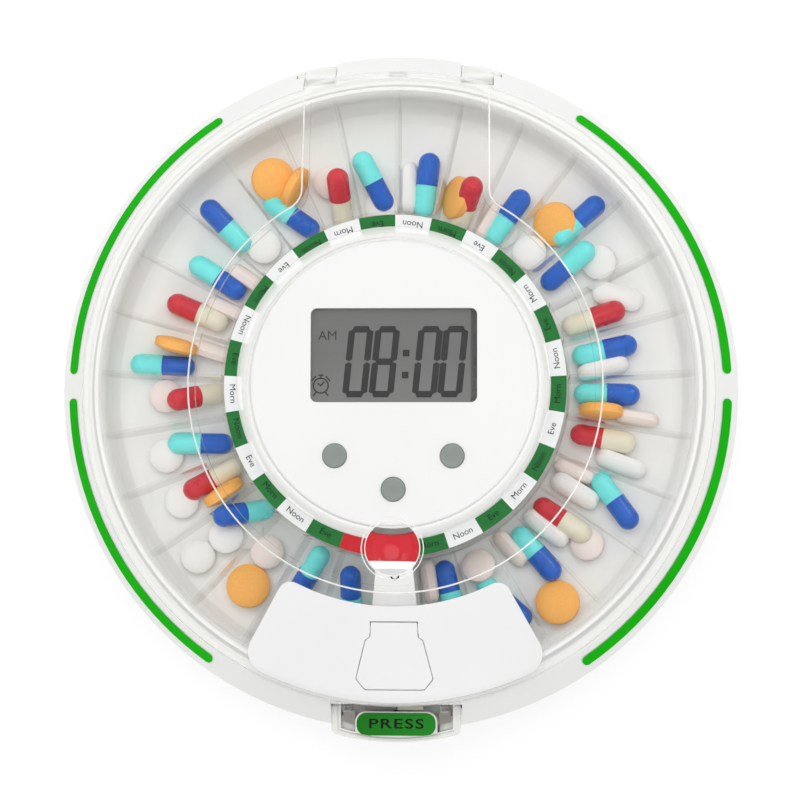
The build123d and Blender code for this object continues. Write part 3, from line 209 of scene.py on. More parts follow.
def moulded(name, first, second, gloss=(0.28, 0.36), grain=0.00002, grain_scale=900, cloud=18, specular=0.5):
    """Opaque plastic whose tone clouds between two near colours, with uneven gloss and fine grain."""
    made, tree, shader = material(name)
    cloudy = object_noise(tree, cloud, 3)
    tree.links.new(tinted(tree, cloudy, first, second), shader.inputs["Base Color"])
    tree.links.new(spread(tree, object_noise(tree, 70, 4), *gloss), shader.inputs["Roughness"])
    shader.inputs["Specular IOR Level"].default_value = specular
    grained(tree, shader, grain_scale, grain)
    return made


def finish(material_made, *nodes):
    for node in nodes:
        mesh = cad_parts[node].data
        mesh.materials.clear()
        mesh.materials.append(material_made)


housing_white = moulded("housing_white", (0.79, 0.79, 0.77), (0.83, 0.83, 0.81))
finish(housing_white, "base_shell", "upper_housing", "battery_door")
finish(moulded("button_white", (0.74, 0.74, 0.72), (0.79, 0.79, 0.77), cloud=60), "release_button")

# Accent strips: four green strips pressed into grooves of the rim, glossy on top.
strip_green = moulded("strip_green", (0.005, 0.40, 0.002), (0.007, 0.45, 0.003), gloss=(0.5, 0.6), cloud=40,
                       specular=0.04)
finish(strip_green, "accent_strips")

# Feet and screws: soft grey rubber discs and plated pan-head screws.
foot_rubber = moulded("foot_rubber", (0.42, 0.42, 0.41), (0.50, 0.50, 0.48), gloss=(0.75, 0.9), grain=0.00006,
                       cloud=90)
finish(foot_rubber, "feet")


def steel(name, first, second, gloss=(0.22, 0.34), brushed=(1, 1, 1)):
    """Bright metal with fine drawn marks along the axis that is least stretched."""
    made, tree, shader = material(name)
    shader.inputs["Metallic"].default_value = 1.0
    place = tree.nodes.new("ShaderNodeTexCoord")
    stretch = tree.nodes.new("ShaderNodeMapping")
    stretch.inputs["Scale"].default_value = brushed
    noise = tree.nodes.new("ShaderNodeTexNoise")
    noise.inputs["Scale"].default_value = 160
    noise.inputs["Detail"].default_value = 4
    tree.links.new(place.outputs["Object"], stretch.inputs["Vector"])
    tree.links.new(stretch.outputs["Vector"], noise.inputs["Vector"])
    tree.links.new(tinted(tree, noise.outputs["Fac"], first, second), shader.inputs["Base Color"])
    tree.links.new(spread(tree, noise.outputs["Fac"], *gloss), shader.inputs["Roughness"])
    return made


plated_steel = steel("plated_steel", (0.46, 0.45, 0.42), (0.62, 0.61, 0.58))
finish(plated_steel, "housing_screws", "board_screws", "motor_screws", "motor_shaft", "battery_plates")


# Tray: one clear moulding with a trough floor, inner wall, outer wall and 29 dividers.
# The walls are thin clear plastic, a little milky, with light caught along their edges.
def lighting_ray(tree):
    """1 for the rays that carry light to what lies behind, 0 for those that are seen or mirrored."""
    ray = tree.nodes.new("ShaderNodeLightPath")
    return combined(tree, "MAXIMUM", ray.outputs["Is Shadow Ray"], ray.outputs["Is Diffuse Ray"])


def clear_plastic(name, tint, edge_tint, haze, edge_haze, gloss=0.06, haze_colour=(0.9, 0.9, 0.88),
                  frost=None):
    """Thin clear plastic: tinted more where it is seen edge-on, with a little milky haze and a clear gloss.
    Haze sends most light onward, so light passes the clear faces nearly whole on its way to what lies behind.
    frost, where given, makes the share of haze over some of its faces: a frosted moulding, and on the lid a
    band painted pale over shade."""
    made, tree, shader = material(name)
    tree.nodes.remove(shader)
    facing = tree.nodes.new("ShaderNodeLayerWeight")
    facing.inputs["Blend"].default_value = 0.35
    through = tree.nodes.new("ShaderNodeMix")
    through.data_type = "RGBA"
    through.inputs["A"].default_value = (*tint, 1)
    through.inputs["B"].default_value = (*edge_tint, 1)
    tree.links.new(facing.outputs["Facing"], through.inputs["Factor"])
    clear = tree.nodes.new("ShaderNodeBsdfTransparent")
    tree.links.new(through.outputs["Result"], clear.inputs["Color"])
    milk = tree.nodes.new("ShaderNodeBsdfDiffuse")
    milk.inputs["Color"].default_value = (*haze_colour, 1)
    share = ramped(tree, facing.outputs["Facing"], 0.45, 1.0, haze, edge_haze)
    if frost:
        share = combined(tree, "MAXIMUM", share, frost(tree))
    body = mixed_shader(tree, share, clear.outputs[0], milk.outputs[0])
    shine = tree.nodes.new("ShaderNodeBsdfGlossy")
    uneven = spread(tree, object_noise(tree, 45, 3), gloss * 0.7, gloss * 1.6)
    tree.links.new(uneven, shine.inputs["Roughness"])
    fresnel = tree.nodes.new("ShaderNodeFresnel")
    fresnel.inputs["IOR"].default_value = 1.45
    side = tree.nodes.new("ShaderNodeNewGeometry")
    outer_side = combined(tree, "SUBTRACT", 1.0, side.outputs["Backfacing"])
    sheen = combined(tree, "MULTIPLY", fresnel.outputs[0], outer_side)
    coat = mixed_shader(tree, sheen, body, shine.outputs[0])
    onward = combined(tree, "MULTIPLY", lighting_ray(tree), 0.8)
    if frost:
        onward = combined(tree, "MULTIPLY", onward, combined(tree, "LESS_THAN", frost(tree), 0.6))
    passed = mixed_shader(tree, onward, coat, tree.nodes.new("ShaderNodeBsdfTransparent").outputs[0])
    tree.links.new(passed, tree.nodes["Material Output"].inputs["Surface"])
    return made


def by_radius(tree, start, end, most):
    """A share that rises from none to most between two distances from the spin axis."""
    place = tree.nodes.new("ShaderNodeTexCoord")
    flat = tree.nodes.new("ShaderNodeVectorMath")
    flat.operation = "MULTIPLY"
    flat.inputs[1].default_value = (1, 1, 0)
    tree.links.new(place.outputs["Object"], flat.inputs[0])
    reach = tree.nodes.new("ShaderNodeVectorMath")
    reach.operation = "LENGTH"
    tree.links.new(flat.outputs["Vector"], reach.inputs[0])
    return ramped(tree, reach.outputs["Value"], start, end, 0.0, most)


def object_axis(tree, axis):
    """The place along X, Y or Z in the object's own frame."""
    place = tree.nodes.new("ShaderNodeTexCoord")
    parts = tree.nodes.new("ShaderNodeSeparateXYZ")
    tree.links.new(place.outputs["Object"], parts.inputs["Vector"])
    return parts.outputs[axis]


def trough_frost(tree):
    """The frosted trough: its floor, where a low face lies level, and its outer wall up to the rim."""
    side = tree.nodes.new("ShaderNodeNewGeometry")
    parts = tree.nodes.new("ShaderNodeSeparateXYZ")
    tree.links.new(side.outputs["Normal"], parts.inputs["Vector"])
    level = ramped(tree, combined(tree, "ABSOLUTE", parts.outputs["Z"]), 0.3, 0.9, 0.0, 0.9)
    low_down = combined(tree, "LESS_THAN", object_axis(tree, "Z"), 0.026)
    floor_share = combined(tree, "MULTIPLY", level, low_down)
    return combined(tree, "MAXIMUM", floor_share, by_radius(tree, 0.078, 0.084, 0.8))


tray_clear = clear_plastic("tray_clear", (0.998, 0.998, 0.996), (0.985, 0.98, 0.965), 0.02, 0.12, gloss=0.10,
                           haze_colour=(0.97, 0.97, 0.95), frost=trough_frost)
divider_clear = clear_plastic("divider_clear", (0.998, 0.998, 0.996), (0.985, 0.98, 0.97), 0.02, 0.08,
                              gloss=0.08, haze_colour=(0.95, 0.94, 0.91))
finish(tray_clear, "tray")
finish(divider_clear, "tray_dividers")

# Dose ring: a printed paper ring on the tray's shelf. It has 29 cells, green and white by turns,
# with two red ones where the closed pocket starts, and the dose names read from the middle.
STATIONS = 29
PITCH = 2 * pi / STATIONS
FRONT = -pi / 2


def printed(name, first, second, gloss=(0.35, 0.5)):
    """Printed paper with a thin clear film."""
    made, tree, shader = material(name)
    tree.links.new(tinted(tree, object_noise(tree, 260, 3), first, second), shader.inputs["Base Color"])
    tree.links.new(spread(tree, object_noise(tree, 90), *gloss), shader.inputs["Roughness"])
    shader.inputs["Specular IOR Level"].default_value = 0.25
    return made


def turned(points, steps, sweep=2 * pi, start=0.0, bm=None):
    """A section of (radius, height) corners swept about Z."""
    bm = bm or bmesh.new()
    corners = [bm.verts.new((r * cos(start), r * sin(start), z)) for r, z in points]
    section = bm.faces.new(corners)
    whole = abs(sweep - 2 * pi) < 1e-6
    spun = [section, *section.edges, *section.verts]
    bmesh.ops.spin(bm, geom=spun, cent=(0, 0, 0), axis=(0, 0, 1), angle=sweep, steps=steps, use_merge=whole)
    if whole:
        bmesh.ops.delete(bm, geom=[section], context="FACES_ONLY")
    bmesh.ops.recalc_face_normals(bm, faces=bm.faces)
    return bm


low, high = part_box("dosage_ring")
ring_in, ring_out = 0.0484, 0.0540
ring = turned([(ring_in, low.z), (ring_out, low.z), (ring_out, high.z), (ring_in, high.z)], STATIONS * 8,
              start=FRONT + PITCH / 2)
cell_order = {"white": 0, "green": 1, "red": 2}
for face in ring.faces:
    middle = face.calc_center_median()
    cell = round((atan2(middle.y, middle.x) - FRONT) / PITCH) % STATIONS
    if cell in (0, 28):
        face.material_index = cell_order["red"]
    elif cell % 2:
        face.material_index = cell_order["green"]
dose_ring = piece("dose_ring", ring, printed("cell_white", (0.80, 0.81, 0.82), (0.86, 0.87, 0.88)),
                  printed("cell_green", (0.012, 0.15, 0.028), (0.016, 0.18, 0.036)),
                  printed("cell_red", (0.56, 0.012, 0.022), (0.62, 0.018, 0.030)), body="tray_assembly",
                  slot="paper_label")
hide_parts("dosage_ring")
black_ink = printed("black_ink", (0.006, 0.006, 0.006), (0.010, 0.010, 0.010), gloss=(0.7, 0.8))


def lettering(text, height, thickness=0.0, spacing=1.0, shear=0.0):
    """The mesh of a line of text, flat in XY with its middle at the origin, capitals this tall.
    A thickness above none fills the letter M solid, so words with an M have none."""
    curve = bpy.data.curves.new(text, "FONT")
    curve.body = text
    curve.size = height / 0.72
    curve.align_x = "CENTER"
    curve.align_y = "CENTER"
    curve.space_character = spacing
    curve.offset = thickness
    curve.shear = shear
    curve.resolution_u = 4
    holder = bpy.data.objects.new(text, curve)
    bpy.context.scene.collection.objects.link(holder)
    bpy.context.view_layer.update()
    mesh = bpy.data.meshes.new_from_object(holder.evaluated_get(bpy.context.evaluated_depsgraph_get()))
    bpy.data.objects.remove(holder)
    bm = bmesh.new()
    bm.from_mesh(mesh)
    bpy.data.meshes.remove(mesh)
    return bm


def added(target, part, matrix):
    """Moves a bmesh by matrix, adds it to target and frees it."""
    part.transform(matrix)
    scrap = bpy.data.meshes.new("scrap")
    part.to_mesh(scrap)
    part.free()
    target.from_mesh(scrap)
    bpy.data.meshes.remove(scrap)


names = bmesh.new()
for cell in range(1, 28):
    word = ("Eve", "Morn", "Noon")[cell % 3]
    angle = FRONT + cell * PITCH
    turn = Matrix.Rotation(angle + pi / 2, 4, "Z")
    place = Matrix.Translation((0, -(ring_in + ring_out) / 2 - 0.0001, high.z + 0.00004))
    added(names, lettering(word, 0.0020), turn @ place)
piece("dose_names", names, black_ink, body="tray_assembly", slot="paper_label")

# Cover of the closed pocket: a white moulded lid glued on two dividers, with a small printed arrow
# for the way the tray turns.
cover_white = moulded("cover_white", (0.84, 0.84, 0.84), (0.88, 0.88, 0.88), cloud=60)
finish(cover_white, "closed_pocket_cover")
arrow = bmesh.new()
bend, stroke = 0.00115, 0.00052
inside, outside, ink_depth = bend - stroke / 2, bend + stroke / 2, 0.00004
turned([(inside, 0), (outside, 0), (outside, ink_depth), (inside, ink_depth)], 20, sweep=radians(165),
       start=radians(190), bm=arrow)
head = bmesh.ops.create_cone(arrow, segments=3, radius1=0.0005, radius2=0.0005, depth=0.00004, cap_ends=True)
bmesh.ops.rotate(arrow, verts=head["verts"], cent=(0, 0, 0), matrix=Matrix.Rotation(radians(95), 3, "Z"))
bmesh.ops.translate(arrow, verts=head["verts"], vec=(bend, 0.0001, 0.00002))
slope = atan2(7.6, 40.9)
arrow.transform(Matrix.Translation((0.00015, -0.0599, 0.04662)) @ Matrix.Rotation(slope, 4, "X"))
piece("turn_arrow", arrow, black_ink, body="tray_assembly", slot="paper_label")


# Pills in the pockets: two-piece gelatine capsules, round and oval tablets and caplets.
# They lie loose on the pocket floors and turn with the tray.
def gelatine(name, first, second):
    made, tree, shader = material(name)
    tree.links.new(tinted(tree, object_noise(tree, 220, 2), first, second), shader.inputs["Base Color"])
    tree.links.new(spread(tree, object_noise(tree, 300), 0.25, 0.4), shader.inputs["Roughness"])
    shader.inputs["Coat Weight"].default_value = 0.3
    return made


def pressed(name, first, second):
    """Pressed powder, matt and speckled."""
    made, tree, shader = material(name)
    tree.links.new(tinted(tree, object_noise(tree, 1500, 4, 0.7), first, second), shader.inputs["Base Color"])
    shader.inputs["Roughness"].default_value = 0.6
    grained(tree, shader, 1800, 0.00012)
    return made


capsule_finishes = {
    "blue": gelatine("gelatine_blue", (0.008, 0.10, 0.50), (0.010, 0.13, 0.60)),
    "teal": gelatine("gelatine_teal", (0.16, 0.80, 0.78), (0.20, 0.86, 0.84)),
    "red": gelatine("gelatine_red", (0.58, 0.018, 0.035), (0.68, 0.026, 0.045)),
    "cream": gelatine("gelatine_cream", (0.78, 0.72, 0.56), (0.84, 0.79, 0.64)),
}
orange_powder = pressed("orange_powder", (0.96, 0.42, 0.085), (0.98, 0.52, 0.14))
white_powder = pressed("white_powder", (0.88, 0.87, 0.85), (0.92, 0.91, 0.89))
pink_powder = pressed("pink_powder", (0.86, 0.74, 0.70), (0.91, 0.82, 0.78))
CAP_R, CAP_STRAIGHT, SHELL_R, SHELL_STRAIGHT = 0.0036, 0.0070, 0.0034, 0.0075


def capsule_shell(bm, radius, straight, side, index):
    """One end of a capsule along Y: half a ball and a straight sleeve that ends at the origin."""
    made = bmesh.ops.create_uvsphere(bm, u_segments=28, v_segments=14, radius=radius)["verts"]
    bmesh.ops.delete(bm, geom=[v for v in made if v.co.z < -radius * 0.01], context="VERTS")
    dome = [v for v in made if v.is_valid]
    rim = [e for e in bm.edges if e.is_boundary and e.verts[0] in dome]
    bmesh.ops.translate(bm, verts=dome, vec=(0, 0, straight))
    drawn = bmesh.ops.extrude_edge_only(bm, edges=rim)["geom"]
    foot = [v for v in drawn if isinstance(v, bmesh.types.BMVert)]
    bmesh.ops.translate(bm, verts=foot, vec=(0, 0, -straight - 0.0003))
    end = bmesh.ops.holes_fill(bm, edges=[e for e in bm.edges if e.is_boundary], sides=0)["faces"]
    verts = set(dome) | set(foot)
    faces = {f for v in verts for f in v.link_faces} | set(end)
    for face in faces:
        face.material_index = index
    bmesh.ops.rotate(bm, verts=list(verts), cent=(0, 0, 0), matrix=Matrix.Rotation(-side * pi / 2, 3, "X"))


def capsule():
    bm = bmesh.new()
    capsule_shell(bm, CAP_R, CAP_STRAIGHT, 1, 0)
    capsule_shell(bm, SHELL_R, SHELL_STRAIGHT, -1, 1)
    bmesh.ops.recalc_face_normals(bm, faces=bm.faces)
    return bm


def tablet(radius, thick, crown, length=0.0):
    """A crowned disc lying flat, drawn out along Y by length."""
    half = thick / 2
    edge = min(0.0006, half * 0.5)
    bm = bmesh.new()
    upper = [(0, half + crown), (radius * 0.5, half + crown * 0.75), (radius - edge, half),
             (radius, half - edge)]
    path = upper + [(r, -z) for r, z in reversed(upper)]
    corners = [bm.verts.new((r, 0, z)) for r, z in path]
    line = [bm.edges.new(pair) for pair in zip(corners, corners[1:])]
    bmesh.ops.spin(bm, geom=line + corners, cent=(0, 0, 0), axis=(0, 0, 1), angle=2 * pi, steps=40,
                   use_merge=True)
    bmesh.ops.remove_doubles(bm, verts=bm.verts, dist=1e-6)
    bmesh.ops.translate(bm, verts=[v for v in bm.verts if v.co.y > 1e-6], vec=(0, length / 2, 0))
    bmesh.ops.translate(bm, verts=[v for v in bm.verts if v.co.y < -1e-6 and length], vec=(0, -length / 2, 0))
    bmesh.ops.recalc_face_normals(bm, faces=bm.faces)
    return bm


def pill(kind, count, station, out, across, turn=0, tip=0, height=22.0, roll=0):
    """Lays one pill in a pocket. out and across are millimetres from the spin axis and from the pocket's
    centre line, turn is its heading from straight out, tip raises its outer end, height is its middle."""
    if "-" in kind:
        outer, inner = kind.split("-")
        bm, finishes = capsule(), [capsule_finishes[outer], capsule_finishes[inner]]
    elif kind == "orange":
        bm, finishes = tablet(0.0071, 0.0034, 0.0008), [orange_powder]
    elif kind == "white":
        bm, finishes = tablet(0.0056, 0.0034, 0.0008), [white_powder]
    elif kind == "pink":
        bm, finishes = tablet(0.0054, 0.0034, 0.0008), [pink_powder]
    elif kind == "pink_caplet":
        bm, finishes = tablet(0.0033, 0.0032, 0.0009, 0.0075), [pink_powder]
    else:
        bm, finishes = tablet(0.0037, 0.0034, 0.0011, 0.0095), [white_powder]
    angle = FRONT + station * PITCH
    lay = Matrix.Rotation(radians(turn), 4, "Z") @ Matrix.Rotation(radians(tip), 4, "X")
    bm.transform(lay @ Matrix.Rotation(radians(roll), 4, "Y"))
    bm.transform(Matrix.Translation((across / 1000, out / 1000, height / 1000)))
    bm.transform(Matrix.Rotation(angle - pi / 2, 4, "Z"))
    word = kind.replace("-", "_")
    return piece(f"{word}_pill_{station:02d}_{count}", bm, *finishes, smooth=40, body="tray_assembly")


# kind, station, out, across, turn, tip, height, roll
pills = [
    ("teal-blue", 1, 68, -2.4, 2, 0, 21.7), ("pink_caplet", 1, 63, 3.4, -4, 0, 22.6, 78),
    ("pink", 2, 63, 0.2, 0, 22, 22.6), ("blue-teal", 2, 77, -2.6, 24, 0, 21.7),
    ("blue-teal", 3, 69.5, -3.6, 4, 4, 22.3), ("pink_caplet", 3, 63, 2.2, 4, 0, 21.4, 60),
    ("orange", 3, 86, 0.4, 0, 12, 22.4), ("cream-red", 4, 68, -2.4, 7, 4, 23.1),
    ("caplet", 4, 65.5, 3.0, 2, 0, 21.8, 60), ("pink", 4, 79, -1.8, 0, 14, 21.4),
    ("blue-teal", 5, 79, -1.2, -26, 6, 23.1), ("caplet", 5, 66, 2.0, -4, 0, 22.0, 50),
    ("pink_caplet", 5, 63, -3.6, 5, 0, 21, 74), ("cream-red", 6, 68.4, -2.8, 5, 4, 22.3),
    ("caplet", 6, 76, 3.6, -5, 0, 21.8, 60), ("blue-teal", 7, 68, -2.6, 2, 0, 21.7),
    ("orange", 7, 66, 3.1, 0, 0, 25.4, 84), ("pink_caplet", 7, 78, 4.6, -6, 0, 21.4, 76),
    ("blue-teal", 8, 68.6, -2.2, 3, 3, 22.1), ("caplet", 8, 67, 3.6, 4, 0, 21.6, 66),
    ("red-cream", 9, 68, 1.4, -4, 3, 22.1), ("caplet", 9, 78, -2.4, -36, 0, 20.4),
    ("teal-blue", 10, 68.6, -2.8, 6, 12, 23.9), ("white", 10, 78, 1.8, 0, 16, 21.6),
    ("orange", 11, 75, -0.6, 0, 18, 22.6), ("blue-teal", 11, 81, 4.3, -4, 4, 22.1),
    ("white", 11, 62.5, -0.4, 0, 0, 20.2), ("blue-teal", 12, 67.2, 1.0, -5, 6, 22.7),
    ("pink_caplet", 12, 63, -3.6, 2, 0, 21.6, 80), ("red-cream", 13, 64.5, 1.4, -4, 38, 26.2),
    ("orange", 13, 66, -2.2, 8, 0, 24.8, -58), ("blue-teal", 14, 68.6, 1.6, -1, 6, 22.7),
    ("caplet", 14, 67.2, -4.0, 5, 0, 21.8, 74), ("teal-blue", 15, 69.6, -1.2, 22, 14, 24.3),
    ("white", 15, 61.4, 0.6, 0, 0, 20.2), ("red-cream", 16, 66, 1.8, -14, 38, 26.7),
    ("pink", 16, 73, 0.2, 0, 12, 21), ("orange", 17, 81, 0.2, 20, 16, 25.4),
    ("teal-blue", 17, 68.2, -0.8, 24, 4, 22.3), ("orange", 17, 75, 5.2, -60, 0, 24.6, 84),
    ("blue-teal", 18, 79, -4.2, 0, 10, 24.3), ("white", 18, 65.6, 0.4, 30, 0, 21),
    ("teal-blue", 19, 71, -2.8, 1, 2, 21.9), ("pink_caplet", 19, 62.5, 2.6, 0, 0, 21.4, 70),
    ("red-cream", 20, 71.6, -0.6, -1, 3, 22.3), ("pink_caplet", 20, 63, 4.2, -3, 0, 21.4, 76),
    ("teal-blue", 21, 78.6, -4.4, 6, 0, 21.7), ("orange", 21, 74.6, 2.8, -6, 0, 25.2, 84),
    ("pink_caplet", 21, 63.2, 3.0, -8, 0, 21, 60), ("red-cream", 22, 66, 1.4, 10, 34, 26.1),
    ("pink", 22, 77, 2.4, 0, 10, 20.8), ("teal-blue", 23, 67.6, 0.8, -16, 6, 22.5),
    ("white", 23, 79.6, 0.0, -16, 8, 20.8), ("red-cream", 24, 67.6, 3.0, 1, 2, 21.9),
    ("orange", 24, 66, -2.8, 5, 0, 25.2, 82), ("white", 24, 80, 1.4, 0, 6, 20.6),
    ("blue-teal", 25, 64.4, 2.0, -30, 30, 25.3), ("white", 25, 85.4, 1.2, 0, 8, 20.6),
    ("white", 25, 74, 0.2, 0, 10, 21.8), ("pink", 26, 68, 2.2, -40, 8, 22),
    ("orange", 26, 80.6, 0.4, 0, 10, 21.8), ("blue-teal", 27, 66.4, 1.2, -8, -24, 24.7),
    ("teal-blue", 28, 68.6, 0.4, 12, -30, 25.7),
]
for count, (kind, *values) in enumerate(pills):
    pill(kind, count, *values)

# Clock: a white face plate over the display, its clear window and three grey keys.
face_white = moulded("face_white", (0.84, 0.84, 0.835), (0.87, 0.87, 0.865), gloss=(0.3, 0.38), cloud=12)
finish(face_white, "face_plate")
window_clear = clear_plastic("window_clear", (0.99, 0.99, 0.99), (0.85, 0.85, 0.85), 0.0, 0.05, gloss=0.05)
finish(window_clear, "lcd_window")
key_grey = moulded("key_grey", (0.235, 0.265, 0.245), (0.27, 0.30, 0.28), gloss=(0.5, 0.6), cloud=300)
finish(key_grey, "left_button", "right_button", "centre_button")

display_grey, tree, shader = material("display_grey")
# The grey is painted lighter towards the bottom of the display and darker towards its top: painted light
# across the glass.
painted_light_fade = ramped(tree, object_axis(tree, "Y"), -0.006, 0.008)
glass = tree.nodes.new("ShaderNodeMix")
glass.data_type = "RGBA"
glass.inputs["A"].default_value = (0.205, 0.208, 0.202, 1)
glass.inputs["B"].default_value = (0.164, 0.167, 0.163, 1)
tree.links.new(painted_light_fade, glass.inputs["Factor"])
tree.links.new(glass.outputs["Result"], shader.inputs["Base Color"])
tree.links.new(spread(tree, object_noise(tree, 400), 0.4, 0.5), shader.inputs["Roughness"])
finish(display_grey, "lcd_glass")
segment_grey = printed("segment_grey", (0.032, 0.033, 0.032), (0.038, 0.039, 0.038))

# Display: slanted seven-segment digits, the half of the day and the alarm's clock sign.
DISPLAY_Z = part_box("lcd_glass")[1].z + 0.00003
DIGIT_W, DIGIT_H, STROKE, SLANT = 0.0078, 0.0224, 0.00205, 0.10
SHAPES = {"0": "abcdef", "8": "abcdefg"}


def segment(bm, x, y, length, upright):
    """One six-sided bar of a digit."""
    half = STROKE / 2
    bar = bmesh.ops.create_circle(bm, segments=6, radius=half, cap_ends=True)["verts"]
    for v in bar:
        v.co.x = 0.0 if abs(v.co.x) < half * 0.3 else v.co.x
    bmesh.ops.scale(bm, verts=bar, vec=(1.15, 1, 1))
    long_way = [v for v in bar if v.co.y > 0]
    short_way = [v for v in bar if v.co.y < 0]
    reach = length / 2 - half
    bmesh.ops.translate(bm, verts=long_way, vec=(0, reach, 0))
    bmesh.ops.translate(bm, verts=short_way, vec=(0, -reach, 0))
    if not upright:
        bmesh.ops.rotate(bm, verts=bar, cent=(0, 0, 0), matrix=Matrix.Rotation(pi / 2, 3, "Z"))
    bmesh.ops.translate(bm, verts=bar, vec=(x, y, 0))


def digit(bm, character, x, y):
    dx, dy = (DIGIT_W - STROKE) / 2, (DIGIT_H - STROKE) / 2
    places = {"a": (0, dy, False), "d": (0, -dy, False), "g": (0, 0, False), "b": (dx, dy / 2, True),
              "c": (dx, -dy / 2, True), "e": (-dx, -dy / 2, True), "f": (-dx, dy / 2, True)}
    for name in SHAPES[character]:
        sx, sy, upright = places[name]
        segment(bm, sx, sy, dy - 0.0003 if upright else 2 * dx - 0.0003, upright)
        fresh = list(bm.verts)[-6:]
        for v in fresh:
            v.co.x += v.co.y * SLANT
        bmesh.ops.translate(bm, verts=fresh, vec=(x, y, 0))


digits = bmesh.new()
for character, x in zip("0800", (-0.0113, -0.0030, 0.0105, 0.0184)):
    digit(digits, character, x, 0.0069)
for y in (0.0027, 0.0096):
    dot = bmesh.ops.create_grid(digits, x_segments=1, y_segments=1, size=0.00105)["verts"]
    bmesh.ops.translate(digits, verts=dot, vec=(0.0034 + y * 0.04, y, 0))
digits.transform(Matrix.Translation((0, 0, DISPLAY_Z)))
piece("display_digits", digits, segment_grey, body="housing", slot="display_glass")
half_day = lettering("AM", 0.0030)
half_day.transform(Matrix.Translation((-0.0208, 0.0150, DISPLAY_Z)))
piece("display_half_day", half_day, segment_grey, body="housing", slot="display_glass")
alarm = bmesh.new()
thin = 0.00044
turned([(0.0021, 0), (0.0021 + thin, 0), (0.0021 + thin, 0.00002), (0.0021, 0.00002)], 36, bm=alarm)


def stroke(bm, start, end, width):
    start, end = Vector(start), Vector(end)
    line = bmesh.ops.create_grid(bm, x_segments=1, y_segments=1, size=0.5)["verts"]
    bmesh.ops.scale(bm, verts=line, vec=((end - start).length + width, width, 1))
    turn = Matrix.Rotation(atan2(end.y - start.y, end.x - start.x), 3, "Z")
    bmesh.ops.rotate(bm, verts=line, cent=(0, 0, 0), matrix=turn)
    bmesh.ops.translate(bm, verts=line, vec=(*((start + end) / 2), 0.00001))


for start, end in (((0, 0), (0.0010, 0.0011)), ((0, 0), (-0.0008, 0.0006)), ((0, 0.0026), (0, 0.0032)),
                   ((-0.0006, 0.0033), (0.0006, 0.0033)), ((-0.0028, 0.0016), (-0.0017, 0.0028)),
                   ((0.0028, 0.0016), (0.0017, 0.0028)), ((-0.0014, -0.0020), (-0.0022, -0.0030)),
                   ((0.0014, -0.0020), (0.0022, -0.0030))):
    stroke(alarm, start, end, thin)
alarm.transform(Matrix.Translation((-0.0229, -0.0006, DISPLAY_Z)))
piece("display_alarm_sign", alarm, segment_grey, body="housing", slot="display_glass")

# Lid: a clear domed moulding with a flat neck to the hinge, a boss over the clock and a front tab.
# Its hinge lugs, the boss's shoulder and the seat round the hatch flap look pale; its outer band is painted
# pale.
def lid_frost_and_painted_band(tree):
    """Pale at the hinge lugs, on the boss's shoulder and the seat round the flap; the outer band is painted
    pale over the shade of the gap below.
    """
    lugs = ramped(tree, object_axis(tree, "Y"), 0.0975, 0.0990, 0.0, 0.5)
    shoulder = combined(tree, "SUBTRACT", by_radius(tree, 0.0450, 0.0454, 0.45),
                        by_radius(tree, 0.0488, 0.0490, 0.45))
    # Painted paleness: a milky band that lightens the shade in the gap between the tray and the bowl under
    # the lid's outer band.
    painted_pale_band = combined(tree, "SUBTRACT", by_radius(tree, 0.0915, 0.0965, 0.36),
                          by_radius(tree, 0.1015, 0.1018, 0.36))
    seat_x = combined(tree, "COMPARE", object_axis(tree, "X"), 0.0, 0.0132)
    seat_y = combined(tree, "COMPARE", object_axis(tree, "Y"), -0.0849, 0.0116)
    share = lugs
    for other in (shoulder, painted_pale_band, combined(tree, "MULTIPLY", seat_x, seat_y)):
        share = combined(tree, "MAXIMUM", share, other)
    return share


lid_clear = clear_plastic("lid_clear", (0.996, 0.996, 0.992), (0.97, 0.97, 0.95), 0.0, 0.55, gloss=0.05,
                          haze_colour=(0.95, 0.95, 0.93), frost=lid_frost_and_painted_band)
finish(lid_clear, "lid")
# Pale milky plastic for painted highlights: thin wires that stand in for the light caught along the lid's
# moulded edges.
painted_edge_highlight = clear_plastic("painted_edge_highlight", (0.99, 0.99, 0.98), (0.97, 0.97, 0.95), 0.7, 0.85,
                          haze_colour=(0.95, 0.94, 0.90))


def tube(points, radius, sides=10):
    """A round wire through the points, capped at both ends."""
    bm = bmesh.new()
    points = [Vector(point) for point in points]
    rings = []
    across = Vector((0, 0, 1))
    for i, here in enumerate(points):
        along = (points[min(i + 1, len(points) - 1)] - points[max(i - 1, 0)]).normalized()
        across = (across - along * across.dot(along)).normalized()
        side = along.cross(across)
        turns = [2 * pi * k / sides for k in range(sides)]
        rings.append([bm.verts.new(here + (across * cos(a) + side * sin(a)) * radius) for a in turns])
    for one, two in zip(rings, rings[1:]):
        for k in range(sides):
            bm.faces.new((one[k], one[k - 1], two[k - 1], two[k]))
    bm.faces.new(rings[0])
    bm.faces.new(rings[-1])
    bmesh.ops.recalc_face_normals(bm, faces=bm.faces)
    return bm


